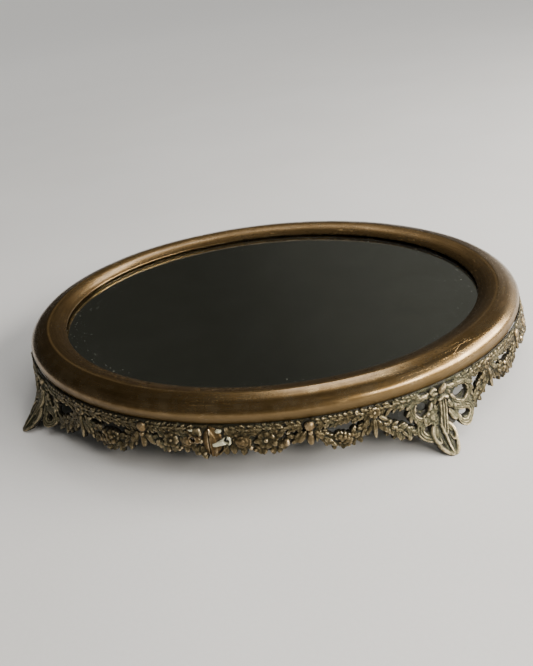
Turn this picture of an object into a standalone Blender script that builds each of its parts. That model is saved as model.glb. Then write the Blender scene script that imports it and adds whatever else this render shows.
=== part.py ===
"""Footed oval mirror tray for a dresser.

An oval hollow brass rim moulding holds a mirror plate and a backing board. Under the rim hang
four cast brass gallery quarters, each with a leaf foot. The quarters butt at the left and right
ends of the oval and a little right of the middle of its front and back. At each butt a splice
plate and two screws join them. Eight angle brackets are screwed to the backing board.

Metres, +Z up, long axis along X, front towards -Y. The origin is on the table plane under the
centre of the oval. "Arc" is arc length round the rim's outer edge, counter-clockwise seen from
above, starting at the right end. "Drop" is distance below the rim's lower edge.
"""

from contextlib import contextmanager
from math import cos, hypot, pi, radians, sin

import bmesh
import bpy
import numpy as np
from mathutils import Matrix, Vector

# ------------------------------------------------------------------ driving dimensions
MM = 0.001
HALF_LONG = 190.0 * MM        # outer edge of the rim, long half axis
HALF_SHORT = 155.8 * MM       # outer edge of the rim, short half axis
RIM_Z = 37.5 * MM             # lower edge of the rim above the table
GAP = 0.4 * MM                # clearance between pieces that touch on the real tray
SEGMENTS = 72                 # sections around the oval

# Rim moulding; insets run inward from the outer edge, rises upward from the lower edge
RIM_WIDTH = 28.0 * MM
LIP_RISE = 9.7 * MM           # sight lip at the inner edge
LIP_T = 1.5 * MM              # thickness at the sight lip
CREST_RISE = 15.0 * MM        # crest line between the outer face and the inner slope
CREST_IN = 14.0 * MM
TUCK_IN = 0.5 * MM            # the outer face curls under and ends this far inside
SHELL = 1.2 * MM              # thickness of the pressed rim

# Flat oval sheets: thickness, and how far each stops inside the rim's outer edge
GLASS_T = 3.0 * MM
SILVER_T = 0.3 * MM
PAPER_T = 0.4 * MM
BOARD_T = 3.0 * MM
FELT_T = 1.0 * MM
SHEET_GAP = 0.3 * MM          # between glass, silvering and paper
GLASS_IN = 24.0 * MM
PAPER_IN = GLASS_IN + 0.8 * MM
BOARD_IN = 2.8 * MM
FELT_IN = 16.0 * MM

# Gallery castings
BAND_OUT = 1.9 * MM           # outer face of the band beyond the rim's outer edge
CAST_T = 2.8 * MM             # thickness of the pierced casting
BAND_DROP = 8.0 * MM          # height of the solid band at the top
SLOPE = 0.18                  # the gallery leans outward as it drops
LEAN_DROP = BAND_DROP * 0.4   # where the lean starts
FOOT_DROP = RIM_Z             # the feet reach the table
RIGHT_FLARE = 15.5 * MM       # extra outward sweep of the right feet, beyond the lean
LEFT_FLARE = 18.5 * MM        # the left feet are splayed further
FLARE_DROP = 10.0 * MM        # where the flare starts
FLARE_HALF = 26.0 * MM        # how far to either side of a foot its flare reaches
BUTT = 0.3 * MM               # half the gap between two castings
CAST_SLICE = 15.7 * MM        # spacing of the upright cuts that let a casting bend
CAST_SLICE_DROPS = (BAND_DROP, 17.0 * MM, 27.0 * MM)
SLICE_SHIFT = 0.37 * MM       # keeps the upright cuts off the vertices of the outline

# Screws and their holes
SCREW_R = 0.9 * MM
SCREW_HOLE_R = 1.3 * MM
SCREW_TIP_R = SCREW_R * 0.55
SCREW_TAPER = 0.8 * MM        # length of the tapered tip
HEAD_R = 1.9 * MM
HEAD_T = 1.1 * MM
HEAD_FACE_R = HEAD_R * 0.62   # flat end face of the head
HEAD_RIM_T = HEAD_T * 0.45    # straight part of the head's side
SLOT_LENGTH = HEAD_R * 3
SLOT_WIDTH = 0.5 * MM
SLOT_HEIGHT = 1.0 * MM        # of the cutter, half of it inside the head
SCREW_STEPS = 8

# Splice plates and joint screws
SPLICE_HALF = 16.0 * MM       # half length of a splice plate
SPLICE_TOP = 5.0 * MM         # its edges, as drops
SPLICE_LOW = 12.0 * MM
SPLICE_T = 1.0 * MM
SPLICE_SLICE = 8.3 * MM
JOINT_SCREW_ALONG = 11.2 * MM  # either side of the butt line
JOINT_SCREW_DROP = 8.5 * MM
JOINT_SCREW_SHANK = 4.2 * MM
JOINT_HEAD_GAP = 0.5 * MM     # between head and splice plate
JOINT_CUT_DEPTH = 12.0 * MM

# Angle brackets and their screws
BRACKET_T = 1.0 * MM
BRACKET_HALF = 4.5 * MM       # half width along the rim
BRACKET_REACH = 13.0 * MM
BRACKET_LEG = 8.0 * MM        # height of the upright leg
BRACKET_SCREW_IN = 8.4 * MM
BRACKET_SCREW_SHANK = 4.6 * MM
BRACKET_HEAD_GAP = 0.3 * MM
BRACKET_CUT_DEPTH = 6.0 * MM
BOARD_CUT_DEPTH = 7.4 * MM

# ------------------------------------------------------------------ clean start
for old in list(bpy.data.objects):
    bpy.data.objects.remove(old, do_unlink=True)

TRAY = bpy.data.collections.new("vanity_mirror_tray")
CUTTERS = bpy.data.collections.new("cutters")
bpy.context.scene.collection.children.link(TRAY)
bpy.context.scene.collection.children.link(CUTTERS)


# ------------------------------------------------------------------ materials
def material(name, colour, roughness, metallic):
    made = bpy.data.materials.new(name)
    made.use_nodes = True
    shader = made.node_tree.nodes["Principled BSDF"]
    shader.inputs["Base Color"].default_value = (*colour, 1.0)
    shader.inputs["Roughness"].default_value = roughness
    shader.inputs["Metallic"].default_value = metallic
    made.diffuse_color = (*colour, 1.0)
    return made


RIM_BRASS = material("rim_brass", colour=(0.33, 0.21, 0.11), roughness=0.34, metallic=1.0)
CAST_BRASS = material("cast_brass", colour=(0.30, 0.25, 0.15), roughness=0.55, metallic=0.9)
MIRROR_GLASS = material("mirror_glass", colour=(0.70, 0.78, 0.74), roughness=0.03, metallic=0.0)
SILVERING = material("silvering", colour=(0.75, 0.77, 0.76), roughness=0.08, metallic=1.0)
KRAFT_PAPER = material("kraft_paper", colour=(0.38, 0.28, 0.18), roughness=0.9, metallic=0.0)
PLYWOOD = material("plywood", colour=(0.42, 0.29, 0.17), roughness=0.7, metallic=0.0)
FELT = material("felt", colour=(0.06, 0.11, 0.08), roughness=1.0, metallic=0.0)
BRACKET_BRASS = material("bracket_brass", colour=(0.45, 0.33, 0.16), roughness=0.5, metallic=1.0)
STEEL_SCREW = material("steel_screw", colour=(0.35, 0.35, 0.36), roughness=0.4, metallic=1.0)


# ------------------------------------------------------------------ the oval, by arc length
class Oval:
    """Points and outward normals of an ellipse, addressed by arc length."""

    def __init__(self, half_long, half_short, steps=7200):
        self.half_long, self.half_short = half_long, half_short
        self.angles = np.linspace(0.0, 2 * pi, steps + 1)
        x, y = half_long * np.cos(self.angles), half_short * np.sin(self.angles)
        self.arcs = np.concatenate([[0.0], np.cumsum(np.hypot(np.diff(x), np.diff(y)))])
        self.length = float(self.arcs[-1])

    def frame(self, arc):
        angle = float(np.interp(arc % self.length, self.arcs, self.angles))
        point = Vector((self.half_long * cos(angle), self.half_short * sin(angle)))
        normal = Vector((cos(angle) / self.half_long, sin(angle) / self.half_short))
        return point, normal.normalized()


OVAL = Oval(HALF_LONG, HALF_SHORT)
QUARTER = OVAL.length / 4


def station(along, side):
    """Arc of a point 'along' metres right of the middle of the front or back long side."""
    return 3 * QUARTER + along if side == "front" else QUARTER - along


def offset_ring(offset):
    """The oval moved outward by offset, as SEGMENTS points."""
    ring = []
    for i in range(SEGMENTS):
        point, normal = OVAL.frame(OVAL.length * i / SEGMENTS)
        ring.append((point.x + normal.x * offset, point.y + normal.y * offset))
    return ring


def arc_matrix(arc, offset, z):
    """Local frame on the oval: X along the rim (clockwise from above), Y outward, Z up."""
    point, normal = OVAL.frame(arc)
    return Matrix((
        (normal.y, normal.x, 0.0, point.x + normal.x * offset),
        (-normal.x, normal.y, 0.0, point.y + normal.y * offset),
        (0.0, 0.0, 1.0, z),
        (0.0, 0.0, 0.0, 1.0),
    ))


# ------------------------------------------------------------------ places round the oval
LONG_SIDE_JOINT = 3.4 * MM    # front and back butt joints, right of the middle
RIGHT_FOOT = 148.0 * MM       # feet, along the rim from the middle of the long side
LEFT_FOOT = -155.5 * MM

# Marks on the flat casting, out from its foot: the edge of the bow, the pendant, the ball, the
# butt end. The castings are stretched and trimmed to fit, so on each quarter the marks land at
# their own distances along the rim, given here for its left and its right side.
MARKS = (22.0 * MM, 44.0 * MM, 84.0 * MM, 140.0 * MM)
RIGHT_MARKS = ((22.0 * MM, 43.7 * MM, 82.8 * MM, RIGHT_FOOT - LONG_SIDE_JOINT),
               (22.0 * MM, 45.0 * MM, 86.3 * MM, QUARTER - RIGHT_FOOT))
LEFT_MARKS = ((22.0 * MM, 45.0 * MM, 84.0 * MM, QUARTER + LEFT_FOOT),
              (27.0 * MM, 57.4 * MM, 113.0 * MM, LONG_SIDE_JOINT - LEFT_FOOT))

# Butt joints: arc, then the castings met on the clockwise and counter-clockwise side
JOINTS = {
    "right": (0.0, ("gallery_front_right", "gallery_back_right")),
    "left": (2 * QUARTER, ("gallery_back_left", "gallery_front_left")),
    "front": (station(LONG_SIDE_JOINT, "front"), ("gallery_front_left", "gallery_front_right")),
    "back": (station(LONG_SIDE_JOINT, "back"), ("gallery_back_right", "gallery_back_left")),
}

# Brackets on each long side, along the rim from its middle
BRACKET_PLACES = {"left": -216.0 * MM, "mid_left": -84.0 * MM,
                  "mid_right": 84.0 * MM, "right": 216.0 * MM}


# ------------------------------------------------------------------ helpers
@contextmanager
def edited(mesh):
    """Opens a mesh for editing and writes it back afterwards."""
    edit = bmesh.new()
    edit.from_mesh(mesh)
    yield edit
    edit.to_mesh(mesh)
    edit.free()


def add_piece(name, mesh, mat, matrix=None, smooth_angle=35.0):
    """Puts a mesh in the tray as a named object, with its edges sharp above smooth_angle."""
    mesh.name = name
    mesh.materials.clear()
    mesh.materials.append(mat)
    mesh.shade_smooth()
    mesh.set_sharp_from_angle(angle=radians(smooth_angle))
    obj = bpy.data.objects.new(name, mesh)
    TRAY.objects.link(obj)
    if matrix is not None:
        obj.matrix_world = matrix
    return obj


def curve_object(name, loops):
    """A temporary flat curve of closed polygons, from (x, y) points."""
    data = bpy.data.curves.new(name, "CURVE")
    data.dimensions = "2D"
    data.resolution_u = 1
    data.render_resolution_u = 0
    for loop in loops:
        spline = data.splines.new("POLY")
        spline.points.add(len(loop) - 1)
        for target, (x, y) in zip(spline.points, loop):
            target.co = (x, y, 0.0, 1.0)
        spline.use_cyclic_u = True
    obj = bpy.data.objects.new(name, data)
    bpy.context.scene.collection.objects.link(obj)
    return obj


def curve_to_mesh(curve):
    """The curve as a welded closed mesh; the curve object is removed."""
    bpy.context.view_layer.update()
    graph = bpy.context.evaluated_depsgraph_get()
    mesh = bpy.data.meshes.new_from_object(curve.evaluated_get(graph))
    with edited(mesh) as edit:
        bmesh.ops.remove_doubles(edit, verts=edit.verts, dist=0.01 * MM)
        bmesh.ops.recalc_face_normals(edit, faces=edit.faces)
    bpy.data.objects.remove(curve, do_unlink=True)
    return mesh


def sheet_mesh(name, loops, thickness):
    """A flat sheet in XY, centred on z = 0; the loops after the first are holes."""
    curve = curve_object(name + "_outline", loops)
    curve.data.fill_mode = "BOTH"
    curve.data.extrude = thickness / 2
    return curve_to_mesh(curve)


def hanging_sheet_mesh(name, loops, thickness):
    """A flat sheet whose loops are given as (along, drop), the drop running to -Y."""
    return sheet_mesh(name, [[(along, -drop) for along, drop in loop] for loop in loops],
                      thickness)


def make_cutter(name, matrix):
    """Turns the primitive just added into a hidden cutter."""
    obj = bpy.context.object
    obj.name = name
    obj.matrix_world = matrix
    for owner in list(obj.users_collection):
        owner.objects.unlink(obj)
    CUTTERS.objects.link(obj)
    obj.hide_render = True
    obj.display_type = "WIRE"
    return obj


def hole_cutter(name, depth, matrix):
    bpy.ops.mesh.primitive_cylinder_add(vertices=8, radius=SCREW_HOLE_R, depth=depth)
    return make_cutter(name, matrix)


def cut(obj, cutter, label):
    boolean = obj.modifiers.new(f"{label}_0", "BOOLEAN")
    boolean.operation = "DIFFERENCE"
    boolean.object = cutter
    boolean.solver = "EXACT"


# ------------------------------------------------------------------ rim frame
# Bulging outer face: points on an ellipse, by angle in degrees
BULGE_IN, BULGE_RISE = 6.9 * MM, 6.0 * MM            # its centre
BULGE_HALF_WIDTH, BULGE_HALF_HEIGHT = 7.2 * MM, 6.6 * MM
BULGE_ANGLES = (-34, -12, 10, 32, 54)
SHOULDER = [(4.8 * MM, 12.8 * MM), (9.0 * MM, 14.0 * MM)]   # (inset, rise) up to the crest
INNER_SLOPE = (0.30, 0.55, 0.75, 0.90)               # points as fractions of the slope's run


def rim_outer_profile():
    """Outer skin of the moulding, as (inset, rise)."""
    points = [(TUCK_IN, 0.0), (TUCK_IN, 1.0 * MM)]
    for degrees in BULGE_ANGLES:
        angle = radians(degrees)
        points.append((BULGE_IN - BULGE_HALF_WIDTH * cos(angle),
                       BULGE_RISE + BULGE_HALF_HEIGHT * sin(angle)))
    points += SHOULDER + [(CREST_IN, CREST_RISE)]
    run = RIM_WIDTH - CREST_IN
    for part in INNER_SLOPE:                         # ever steeper
        fall = 0.42 * part + 0.58 * part ** 2.4
        points.append((CREST_IN + part * run, CREST_RISE - (CREST_RISE - LIP_RISE) * fall))
    points.append((RIM_WIDTH, LIP_RISE))
    return points


def inset_profile(points, thickness):
    """The same path moved to its inner side by the sheet's thickness."""
    inner = []
    for i, (x, z) in enumerate(points):
        x_before, z_before = points[max(i - 1, 0)]
        x_after, z_after = points[min(i + 1, len(points) - 1)]
        run, rise = x_after - x_before, z_after - z_before
        size = hypot(run, rise)
        inner.append((x + rise / size * thickness, z - run / size * thickness))
    return inner


def make_rim():
    outer = rim_outer_profile()
    # the inside follows only every other point of the skin, so it is smoother
    inner = [(TUCK_IN + SHELL, 0.0), (TUCK_IN + SHELL, 2.0 * MM),
             *inset_profile(outer, SHELL)[3:12:2],
             (RIM_WIDTH - 2.2 * MM, LIP_RISE - 1.2 * MM),
             (RIM_WIDTH - 0.2 * MM, LIP_RISE - LIP_T)]
    section = curve_object("rim_section", [outer + inner[::-1]])
    path = curve_object("rim_path", [offset_ring(0.0)])
    path.data.bevel_mode = "OBJECT"
    path.data.bevel_object = section
    mesh = curve_to_mesh(path)
    bpy.data.objects.remove(section, do_unlink=True)
    add_piece("rim_frame", mesh, RIM_BRASS, Matrix.Translation((0, 0, RIM_Z)),
              smooth_angle=42.0)


# ------------------------------------------------------------------ flat sheets
def make_plate(name, inset, z_low, thickness, mat):
    """A flat oval sheet whose edge lies inside the rim's outer edge by the inset."""
    mesh = sheet_mesh(name, [offset_ring(-inset)], thickness)
    return add_piece(name, mesh, mat, Matrix.Translation((0, 0, z_low + thickness / 2)))


def make_sheets():
    """The stack under the sight lip; returns the backing board."""
    glass_low = RIM_Z + LIP_RISE - LIP_T - GAP - GLASS_T
    silver_low = glass_low - SHEET_GAP - SILVER_T
    paper_low = silver_low - SHEET_GAP - PAPER_T
    make_plate("mirror_glass", GLASS_IN, glass_low, GLASS_T, MIRROR_GLASS)
    make_plate("mirror_silvering", GLASS_IN, silver_low, SILVER_T, SILVERING)
    make_plate("protective_paper", PAPER_IN, paper_low, PAPER_T, KRAFT_PAPER)
    board = make_plate("backing_board", BOARD_IN, RIM_Z, BOARD_T, PLYWOOD)
    make_plate("felt_cover", FELT_IN, RIM_Z - GAP - FELT_T, FELT_T, FELT)
    return board


# ------------------------------------------------------------------ gallery castings
# Half of a casting's lower outline between the foot's tip and the butt end, as
# (distance from the foot, drop) in mm
HALF_OUTLINE_MM = [
    (5.2, 34.6), (7.0, 30.8), (6.0, 26.6),                                 # leaf foot
    (11.0, 27.8), (17.0, 25.4), (20.4, 19.6),                              # curl of the bow
    (27.0, 19.0), (34.0, 20.8), (41.0, 18.2), (44.0, 21.4), (47.0, 18.2),  # pendant
    (55.0, 22.0), (65.0, 23.6), (74.0, 20.6),                              # leafy swag
    (80.0, 14.6), (84.0, 16.9), (88.0, 14.6),                              # ball and petals
    (96.0, 18.0), (108.0, 20.6), (122.0, 18.4),                            # flower swag
    (129.0, 20.0),                                                         # cartouche
]
FOOT_TIP_HALF = 2.2 * MM
BUTT_END_DROP = 20.8 * MM


def lens(start, end, bulge_up, bulge_down, steps):
    """A pointed opening between two (along, drop) points, bulging to both sides."""
    upper, lower = [], []
    for i in range(steps + 1):
        part = i / steps
        along = start[0] + (end[0] - start[0]) * part
        drop = start[1] + (end[1] - start[1]) * part
        arch = sin(pi * part)
        upper.append((along, drop - bulge_up * arch))
        lower.append((along, drop + bulge_down * arch))
    return upper + lower[-2:0:-1]


def oval_hole(centre, radii, tilt=0.0, steps=8):
    """An elliptical opening round an (along, drop) point; tilt in degrees."""
    tilt_cos, tilt_sin = cos(radians(tilt)), sin(radians(tilt))
    points = []
    for i in range(steps):
        angle = 2 * pi * i / steps
        x, y = radii[0] * cos(angle), radii[1] * sin(angle)
        points.append((centre[0] + x * tilt_cos - y * tilt_sin,
                       centre[1] + x * tilt_sin + y * tilt_cos))
    return points


# The piercings of one half of a casting, as (distance from the foot, drop) in mm
HALF_OPENINGS_MM = [
    oval_hole((10.8, 13.4), (3.6, 4.8), tilt=20.0),
    oval_hole((12.6, 22.8), (2.6, 1.7), tilt=-30.0, steps=6),
    lens((21.5, 9.4), (38.5, 10.6), bulge_up=0.8, bulge_down=5.0, steps=5),
    lens((50.0, 10.4), (79.0, 9.4), bulge_up=0.6, bulge_down=4.8, steps=6),
    lens((90.0, 9.6), (100.5, 10.2), bulge_up=0.7, bulge_down=1.8, steps=3),
]


def gallery_mesh():
    """One quarter casting, flat and symmetric about its foot."""
    half = MARKS[-1]
    right = [(FOOT_TIP_HALF, FOOT_DROP),
             *((along * MM, drop * MM) for along, drop in HALF_OUTLINE_MM),
             (half, BUTT_END_DROP)]
    left = [(-along, drop) for along, drop in right[::-1]]
    loops = [[(-half, GAP)] + left + right + [(half, GAP)]]
    for opening in HALF_OPENINGS_MM:
        for side in (1, -1):
            loops.append([(side * along * MM, drop * MM) for along, drop in opening])
    return hanging_sheet_mesh("gallery", loops, CAST_T)


def slice_for_bending(mesh, half_length, step, drops=()):
    """Cuts a flat piece at regular stations, so that it follows the oval when bent."""
    count = int(half_length // step)
    planes = [((i * step + SLICE_SHIFT, 0, 0), (1, 0, 0)) for i in range(-count, count + 1)]
    planes += [((0, -drop, 0), (0, 1, 0)) for drop in drops]
    with edited(mesh) as edit:
        for point, normal in planes:
            geom = list(edit.verts) + list(edit.edges) + list(edit.faces)
            bmesh.ops.bisect_plane(edit, geom=geom, dist=2e-6, plane_co=point,
                                   plane_no=normal)
        bmesh.ops.remove_doubles(edit, verts=edit.verts, dist=0.01 * MM)
        bmesh.ops.triangulate(edit, faces=edit.faces)


def lean(drop, from_foot=0.0, flare=0.0):
    """Outward distance of the casting's middle surface from the rim's outer edge."""
    out = BAND_OUT - CAST_T / 2 + SLOPE * max(drop - LEAN_DROP, 0.0)
    near = max(0.0, 1.0 - (abs(from_foot) / FLARE_HALF) ** 2)
    fall = max(drop - FLARE_DROP, 0.0) / (FOOT_DROP - FLARE_DROP)
    return out + flare * near * fall ** 2


def bend(mesh, arc_at, flare=0.0):
    """Wraps a flat piece round the oval; arc_at(x) gives the arc of its point x."""
    for vert in mesh.vertices:
        along, drop, depth = vert.co.x, -vert.co.y, vert.co.z
        point, normal = OVAL.frame(arc_at(along))
        out = lean(drop, along, flare) + depth
        vert.co = (point.x + normal.x * out, point.y + normal.y * out, RIM_Z - drop)


def casting_arc(foot, direction, marks):
    """Spreads the flat casting's marks to where they land on this quarter."""
    flat = (0.0,) + MARKS
    left, right = [(0.0, *side[:-1], side[-1] - BUTT) for side in marks]

    def arc_at(along):
        if along < 0:
            return foot - direction * float(np.interp(-along, flat, left))
        return foot + direction * float(np.interp(along, flat, right))

    return arc_at


def make_castings():
    """The four quarters, by name."""
    template = gallery_mesh()
    slice_for_bending(template, MARKS[-1], CAST_SLICE, CAST_SLICE_DROPS)
    castings = {}
    # a casting's right-hand side runs counter-clockwise in front and clockwise at the back
    for side, direction in (("front", 1), ("back", -1)):
        for end, foot, marks, flare in (("left", LEFT_FOOT, LEFT_MARKS, LEFT_FLARE),
                                        ("right", RIGHT_FOOT, RIGHT_MARKS, RIGHT_FLARE)):
            name = f"gallery_{side}_{end}"
            mesh = template.copy()
            bend(mesh, casting_arc(station(foot, side), direction, marks), flare)
            # the back castings come out mirrored
            with edited(mesh) as edit:
                bmesh.ops.recalc_face_normals(edit, faces=edit.faces)
            castings[name] = add_piece(name, mesh, CAST_BRASS, smooth_angle=30.0)
    return castings


# ------------------------------------------------------------------ screws
def screw_mesh(shank):
    """Half section of a slotted screw, head under the origin and shank up."""
    profile = [(0.0, shank), (SCREW_TIP_R, shank), (SCREW_R, shank - SCREW_TAPER),
               (SCREW_R, 0.0), (HEAD_R, 0.0), (HEAD_R, -HEAD_RIM_T),
               (HEAD_FACE_R, -HEAD_T), (0.0, -HEAD_T)]
    mesh = bpy.data.meshes.new("screw_profile")
    with edited(mesh) as edit:
        verts = [edit.verts.new((x, 0.0, z)) for x, z in profile]
        for first, second in zip(verts, verts[1:]):
            edit.edges.new((first, second))
    mesh.materials.append(STEEL_SCREW)
    return mesh


def add_screw(name, mesh, matrix):
    """Turns the half section round its axis, then cuts the slot in the head."""
    obj = bpy.data.objects.new(name, mesh)
    TRAY.objects.link(obj)
    obj.matrix_world = matrix
    turn = obj.modifiers.new("turned", "SCREW")
    turn.steps = turn.render_steps = SCREW_STEPS
    turn.use_merge_vertices = True
    turn.merge_threshold = 0.01 * MM
    turn.use_smooth_shade = True
    bpy.ops.mesh.primitive_cube_add(size=1.0)
    slot = make_cutter(name + "_slot", matrix @ Matrix.Translation((0, 0, -HEAD_T))
                       @ Matrix.Diagonal((SLOT_LENGTH, SLOT_WIDTH, SLOT_HEIGHT, 1.0)))
    cut(obj, slot, "slot")


# ------------------------------------------------------------------ joints of the castings
def make_splice_plates():
    """A thin strip inside the band bridges each butt joint, with one hole on either side."""
    loops = [[(-SPLICE_HALF, SPLICE_TOP), (SPLICE_HALF, SPLICE_TOP),
              (SPLICE_HALF, SPLICE_LOW), (-SPLICE_HALF, SPLICE_LOW)]]
    for side in (-1, 1):
        loops.append(oval_hole((side * JOINT_SCREW_ALONG, JOINT_SCREW_DROP),
                               (SCREW_HOLE_R, SCREW_HOLE_R)))
    template = hanging_sheet_mesh("splice", loops, SPLICE_T)
    slice_for_bending(template, SPLICE_HALF, SPLICE_SLICE)
    for vert in template.vertices:
        vert.co.z -= CAST_T / 2 + GAP + SPLICE_T / 2
    for name, (centre, _) in JOINTS.items():
        mesh = template.copy()
        bend(mesh, lambda along, centre=centre: centre + along)
        add_piece(f"splice_plate_{name}", mesh, BRACKET_BRASS)


def make_joint_screws(castings):
    """Two screws at each joint, heads inside the gallery, shanks into the castings."""
    mesh = screw_mesh(JOINT_SCREW_SHANK)
    z = RIM_Z - JOINT_SCREW_DROP
    middle = lean(JOINT_SCREW_DROP)
    splice_face = middle - (CAST_T / 2 + GAP + SPLICE_T)     # inner face of the splice plate
    outward = Matrix.Rotation(-pi / 2, 4, "X")
    for name, (centre, touching) in JOINTS.items():
        for side, letter, casting in zip((-1, 1), "ab", touching):
            arc = centre + side * JOINT_SCREW_ALONG
            add_screw(f"joint_screw_{name}_{letter}", mesh,
                      arc_matrix(arc, splice_face - JOINT_HEAD_GAP, z) @ outward)
            hole = hole_cutter(f"joint_hole_{name}_{side}", JOINT_CUT_DEPTH,
                               arc_matrix(arc, middle, z) @ outward)
            cut(castings[casting], hole, f"hole_{name}")


# ------------------------------------------------------------------ brackets
def make_bracket(name, arc, top):
    """An angle bracket with its upright leg hanging just inside the band."""
    outer = BAND_OUT - CAST_T - GAP             # outer face of the upright leg
    profile = [(outer, -BRACKET_LEG), (outer, 0.0), (-BRACKET_REACH, 0.0),
               (-BRACKET_REACH, -BRACKET_T), (outer - BRACKET_T, -BRACKET_T),
               (outer - BRACKET_T, -BRACKET_LEG)]
    mesh = sheet_mesh(name, [profile], 2 * BRACKET_HALF)
    # the section lies in the radial plane; its thickness runs along the rim
    point, normal = OVAL.frame(arc)
    matrix = Matrix((
        (normal.x, 0.0, normal.y, point.x),
        (normal.y, 0.0, -normal.x, point.y),
        (0.0, 1.0, 0.0, top),
        (0.0, 0.0, 0.0, 1.0),
    ))
    return add_piece(name, mesh, BRACKET_BRASS, matrix)


def make_brackets(board):
    """Eight brackets under the board, each with a screw up through it into the board."""
    mesh = screw_mesh(BRACKET_SCREW_SHANK)
    top = RIM_Z - GAP
    for side in ("front", "back"):
        for place, along in BRACKET_PLACES.items():
            name = f"{place}_{side}"
            arc = station(along, side)
            bracket = make_bracket(f"bracket_{name}", arc, top)
            seat = arc_matrix(arc, -BRACKET_SCREW_IN, top - BRACKET_T - BRACKET_HEAD_GAP)
            cut(bracket, hole_cutter(f"bracket_hole_{name}", BRACKET_CUT_DEPTH, seat), "hole")
            add_screw(f"bracket_screw_{name}", mesh, seat)
            board_hole = hole_cutter(f"board_hole_{name}", BOARD_CUT_DEPTH,
                                     arc_matrix(arc, -BRACKET_SCREW_IN, RIM_Z))
            cut(board, board_hole, f"hole_{name}")


def build():
    make_rim()
    castings = make_castings()
    board = make_sheets()
    make_splice_plates()
    make_joint_screws(castings)
    make_brackets(board)


build()
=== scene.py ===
"""Looks of the footed oval mirror tray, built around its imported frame.

The tray stands on the table at z = 0, centred on the origin, with its long axis along x, its
front toward -y and its left toward -x. Four cast galleries, each with a foot, hang from the
rim. They are modelled as relief: leaves, flowers, berries, ribbon and leaf feet, worked out
flat as a height and then wrapped round the oval. The rim is swept with a fine section. Every
other piece keeps its own solid and gets its material here. Sizes are in millimetres unless
said otherwise; meshes are scaled to metres.
"""

import math

import bpy
import numpy as np
from mathutils import Matrix, Vector


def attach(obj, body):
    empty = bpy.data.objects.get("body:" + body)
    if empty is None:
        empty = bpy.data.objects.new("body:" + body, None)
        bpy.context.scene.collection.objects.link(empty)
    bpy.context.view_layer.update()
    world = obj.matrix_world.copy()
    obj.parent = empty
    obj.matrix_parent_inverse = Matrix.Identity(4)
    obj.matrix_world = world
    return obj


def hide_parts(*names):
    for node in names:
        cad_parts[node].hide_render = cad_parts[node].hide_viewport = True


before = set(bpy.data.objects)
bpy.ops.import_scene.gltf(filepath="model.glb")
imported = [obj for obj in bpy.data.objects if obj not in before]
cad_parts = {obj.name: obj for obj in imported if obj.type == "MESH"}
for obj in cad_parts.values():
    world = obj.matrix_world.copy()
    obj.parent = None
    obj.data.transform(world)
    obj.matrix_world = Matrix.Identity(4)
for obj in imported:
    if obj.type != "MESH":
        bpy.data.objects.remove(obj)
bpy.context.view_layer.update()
MM = 0.001

# ====================================================================== sizes of the tray
HALF_LENGTH, HALF_WIDTH = 190.0, 155.8   # half axes of the rim's outer edge
RIM_Z = 37.5                             # lower edge of the rim above the table
FOOT_DROP = RIM_Z                        # the feet reach down to the table
BAND_OUT = 1.9                           # casting's front at the top, outside the rim's edge
CAST_THICKNESS = 2.8
SLOPE, SLOPE_START = 0.18, 3.2           # outward slope of the gallery, and the drop it starts at
FLARE_START, FLARE_HALF = 10.0, 26.0     # drop where a foot starts to flare, half its width
FOOT_FLARE, LEFT_FLARE = 15.5, 18.5      # how far the right and the left feet flare out
# places along the rim, from the middle of the front or back toward the right
MIDDLE_JOINT, RIGHT_FOOT, LEFT_FOOT = 3.4, 148.0, -155.5
JOINT_SCREW, JOINT_SCREW_DROP = 11.2, 8.5    # screw hole from the joint and below the rim
BUTT = 0.15                              # half the gap between two castings
SILVER_INSET = 24.0                      # edge of the silvering inside the rim's outer edge


class Oval:
    """The rim's outer edge by arc length, counter-clockwise from +x."""

    def __init__(self, half_length, half_width):
        self.half_length, self.half_width = half_length, half_width
        self.angle = np.linspace(0, 2 * math.pi, 7201)
        x, y = half_length * np.cos(self.angle), half_width * np.sin(self.angle)
        self.run = np.concatenate([[0.0], np.cumsum(np.hypot(np.diff(x), np.diff(y)))])
        self.length = float(self.run[-1])

    def frame(self, run):
        """Points and outward normals at the given arc lengths."""
        angle = np.interp(np.mod(run, self.length), self.run, self.angle)
        cos, sin = np.cos(angle), np.sin(angle)
        normal = np.stack([cos / self.half_length, sin / self.half_width], -1)
        normal = normal / np.linalg.norm(normal, axis=-1, keepdims=True)
        return np.stack([self.half_length * cos, self.half_width * sin], -1), normal


OVAL = Oval(HALF_LENGTH, HALF_WIDTH)
QUARTER = OVAL.length / 4

# Marks of the ornament on the flat pattern, out from the foot: foot, bow edge, pendant, ball,
# butt end. "marks" says where the last four land along the rim on a casting's left and right
# half.
FLAT_MARKS = (0.0, 22.0, 44.0, 84.0, 140.0)
SIDES = {
    "left": dict(
        foot=LEFT_FOOT, flare=LEFT_FLARE,
        marks=((22.0, 45.0, 84.0, QUARTER + LEFT_FOOT),
               (27.0, 57.4, 113.0, MIDDLE_JOINT - LEFT_FOOT)),
        lugs=(False, False),           # whether each half has a lug at its butt end
        deeper=(0.0, 0.16),            # how much lower the swags hang on each half
        tip_shift=-3.6, leaf_scale=1.3),
    "right": dict(
        foot=RIGHT_FOOT, flare=FOOT_FLARE,
        marks=((22.0, 43.7, 82.8, RIGHT_FOOT - MIDDLE_JOINT),
               (22.0, 45.0, 86.3, QUARTER - RIGHT_FOOT)),
        lugs=(True, False), deeper=(0.0, 0.0), tip_shift=-3.2, leaf_scale=1.0),
}


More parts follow.
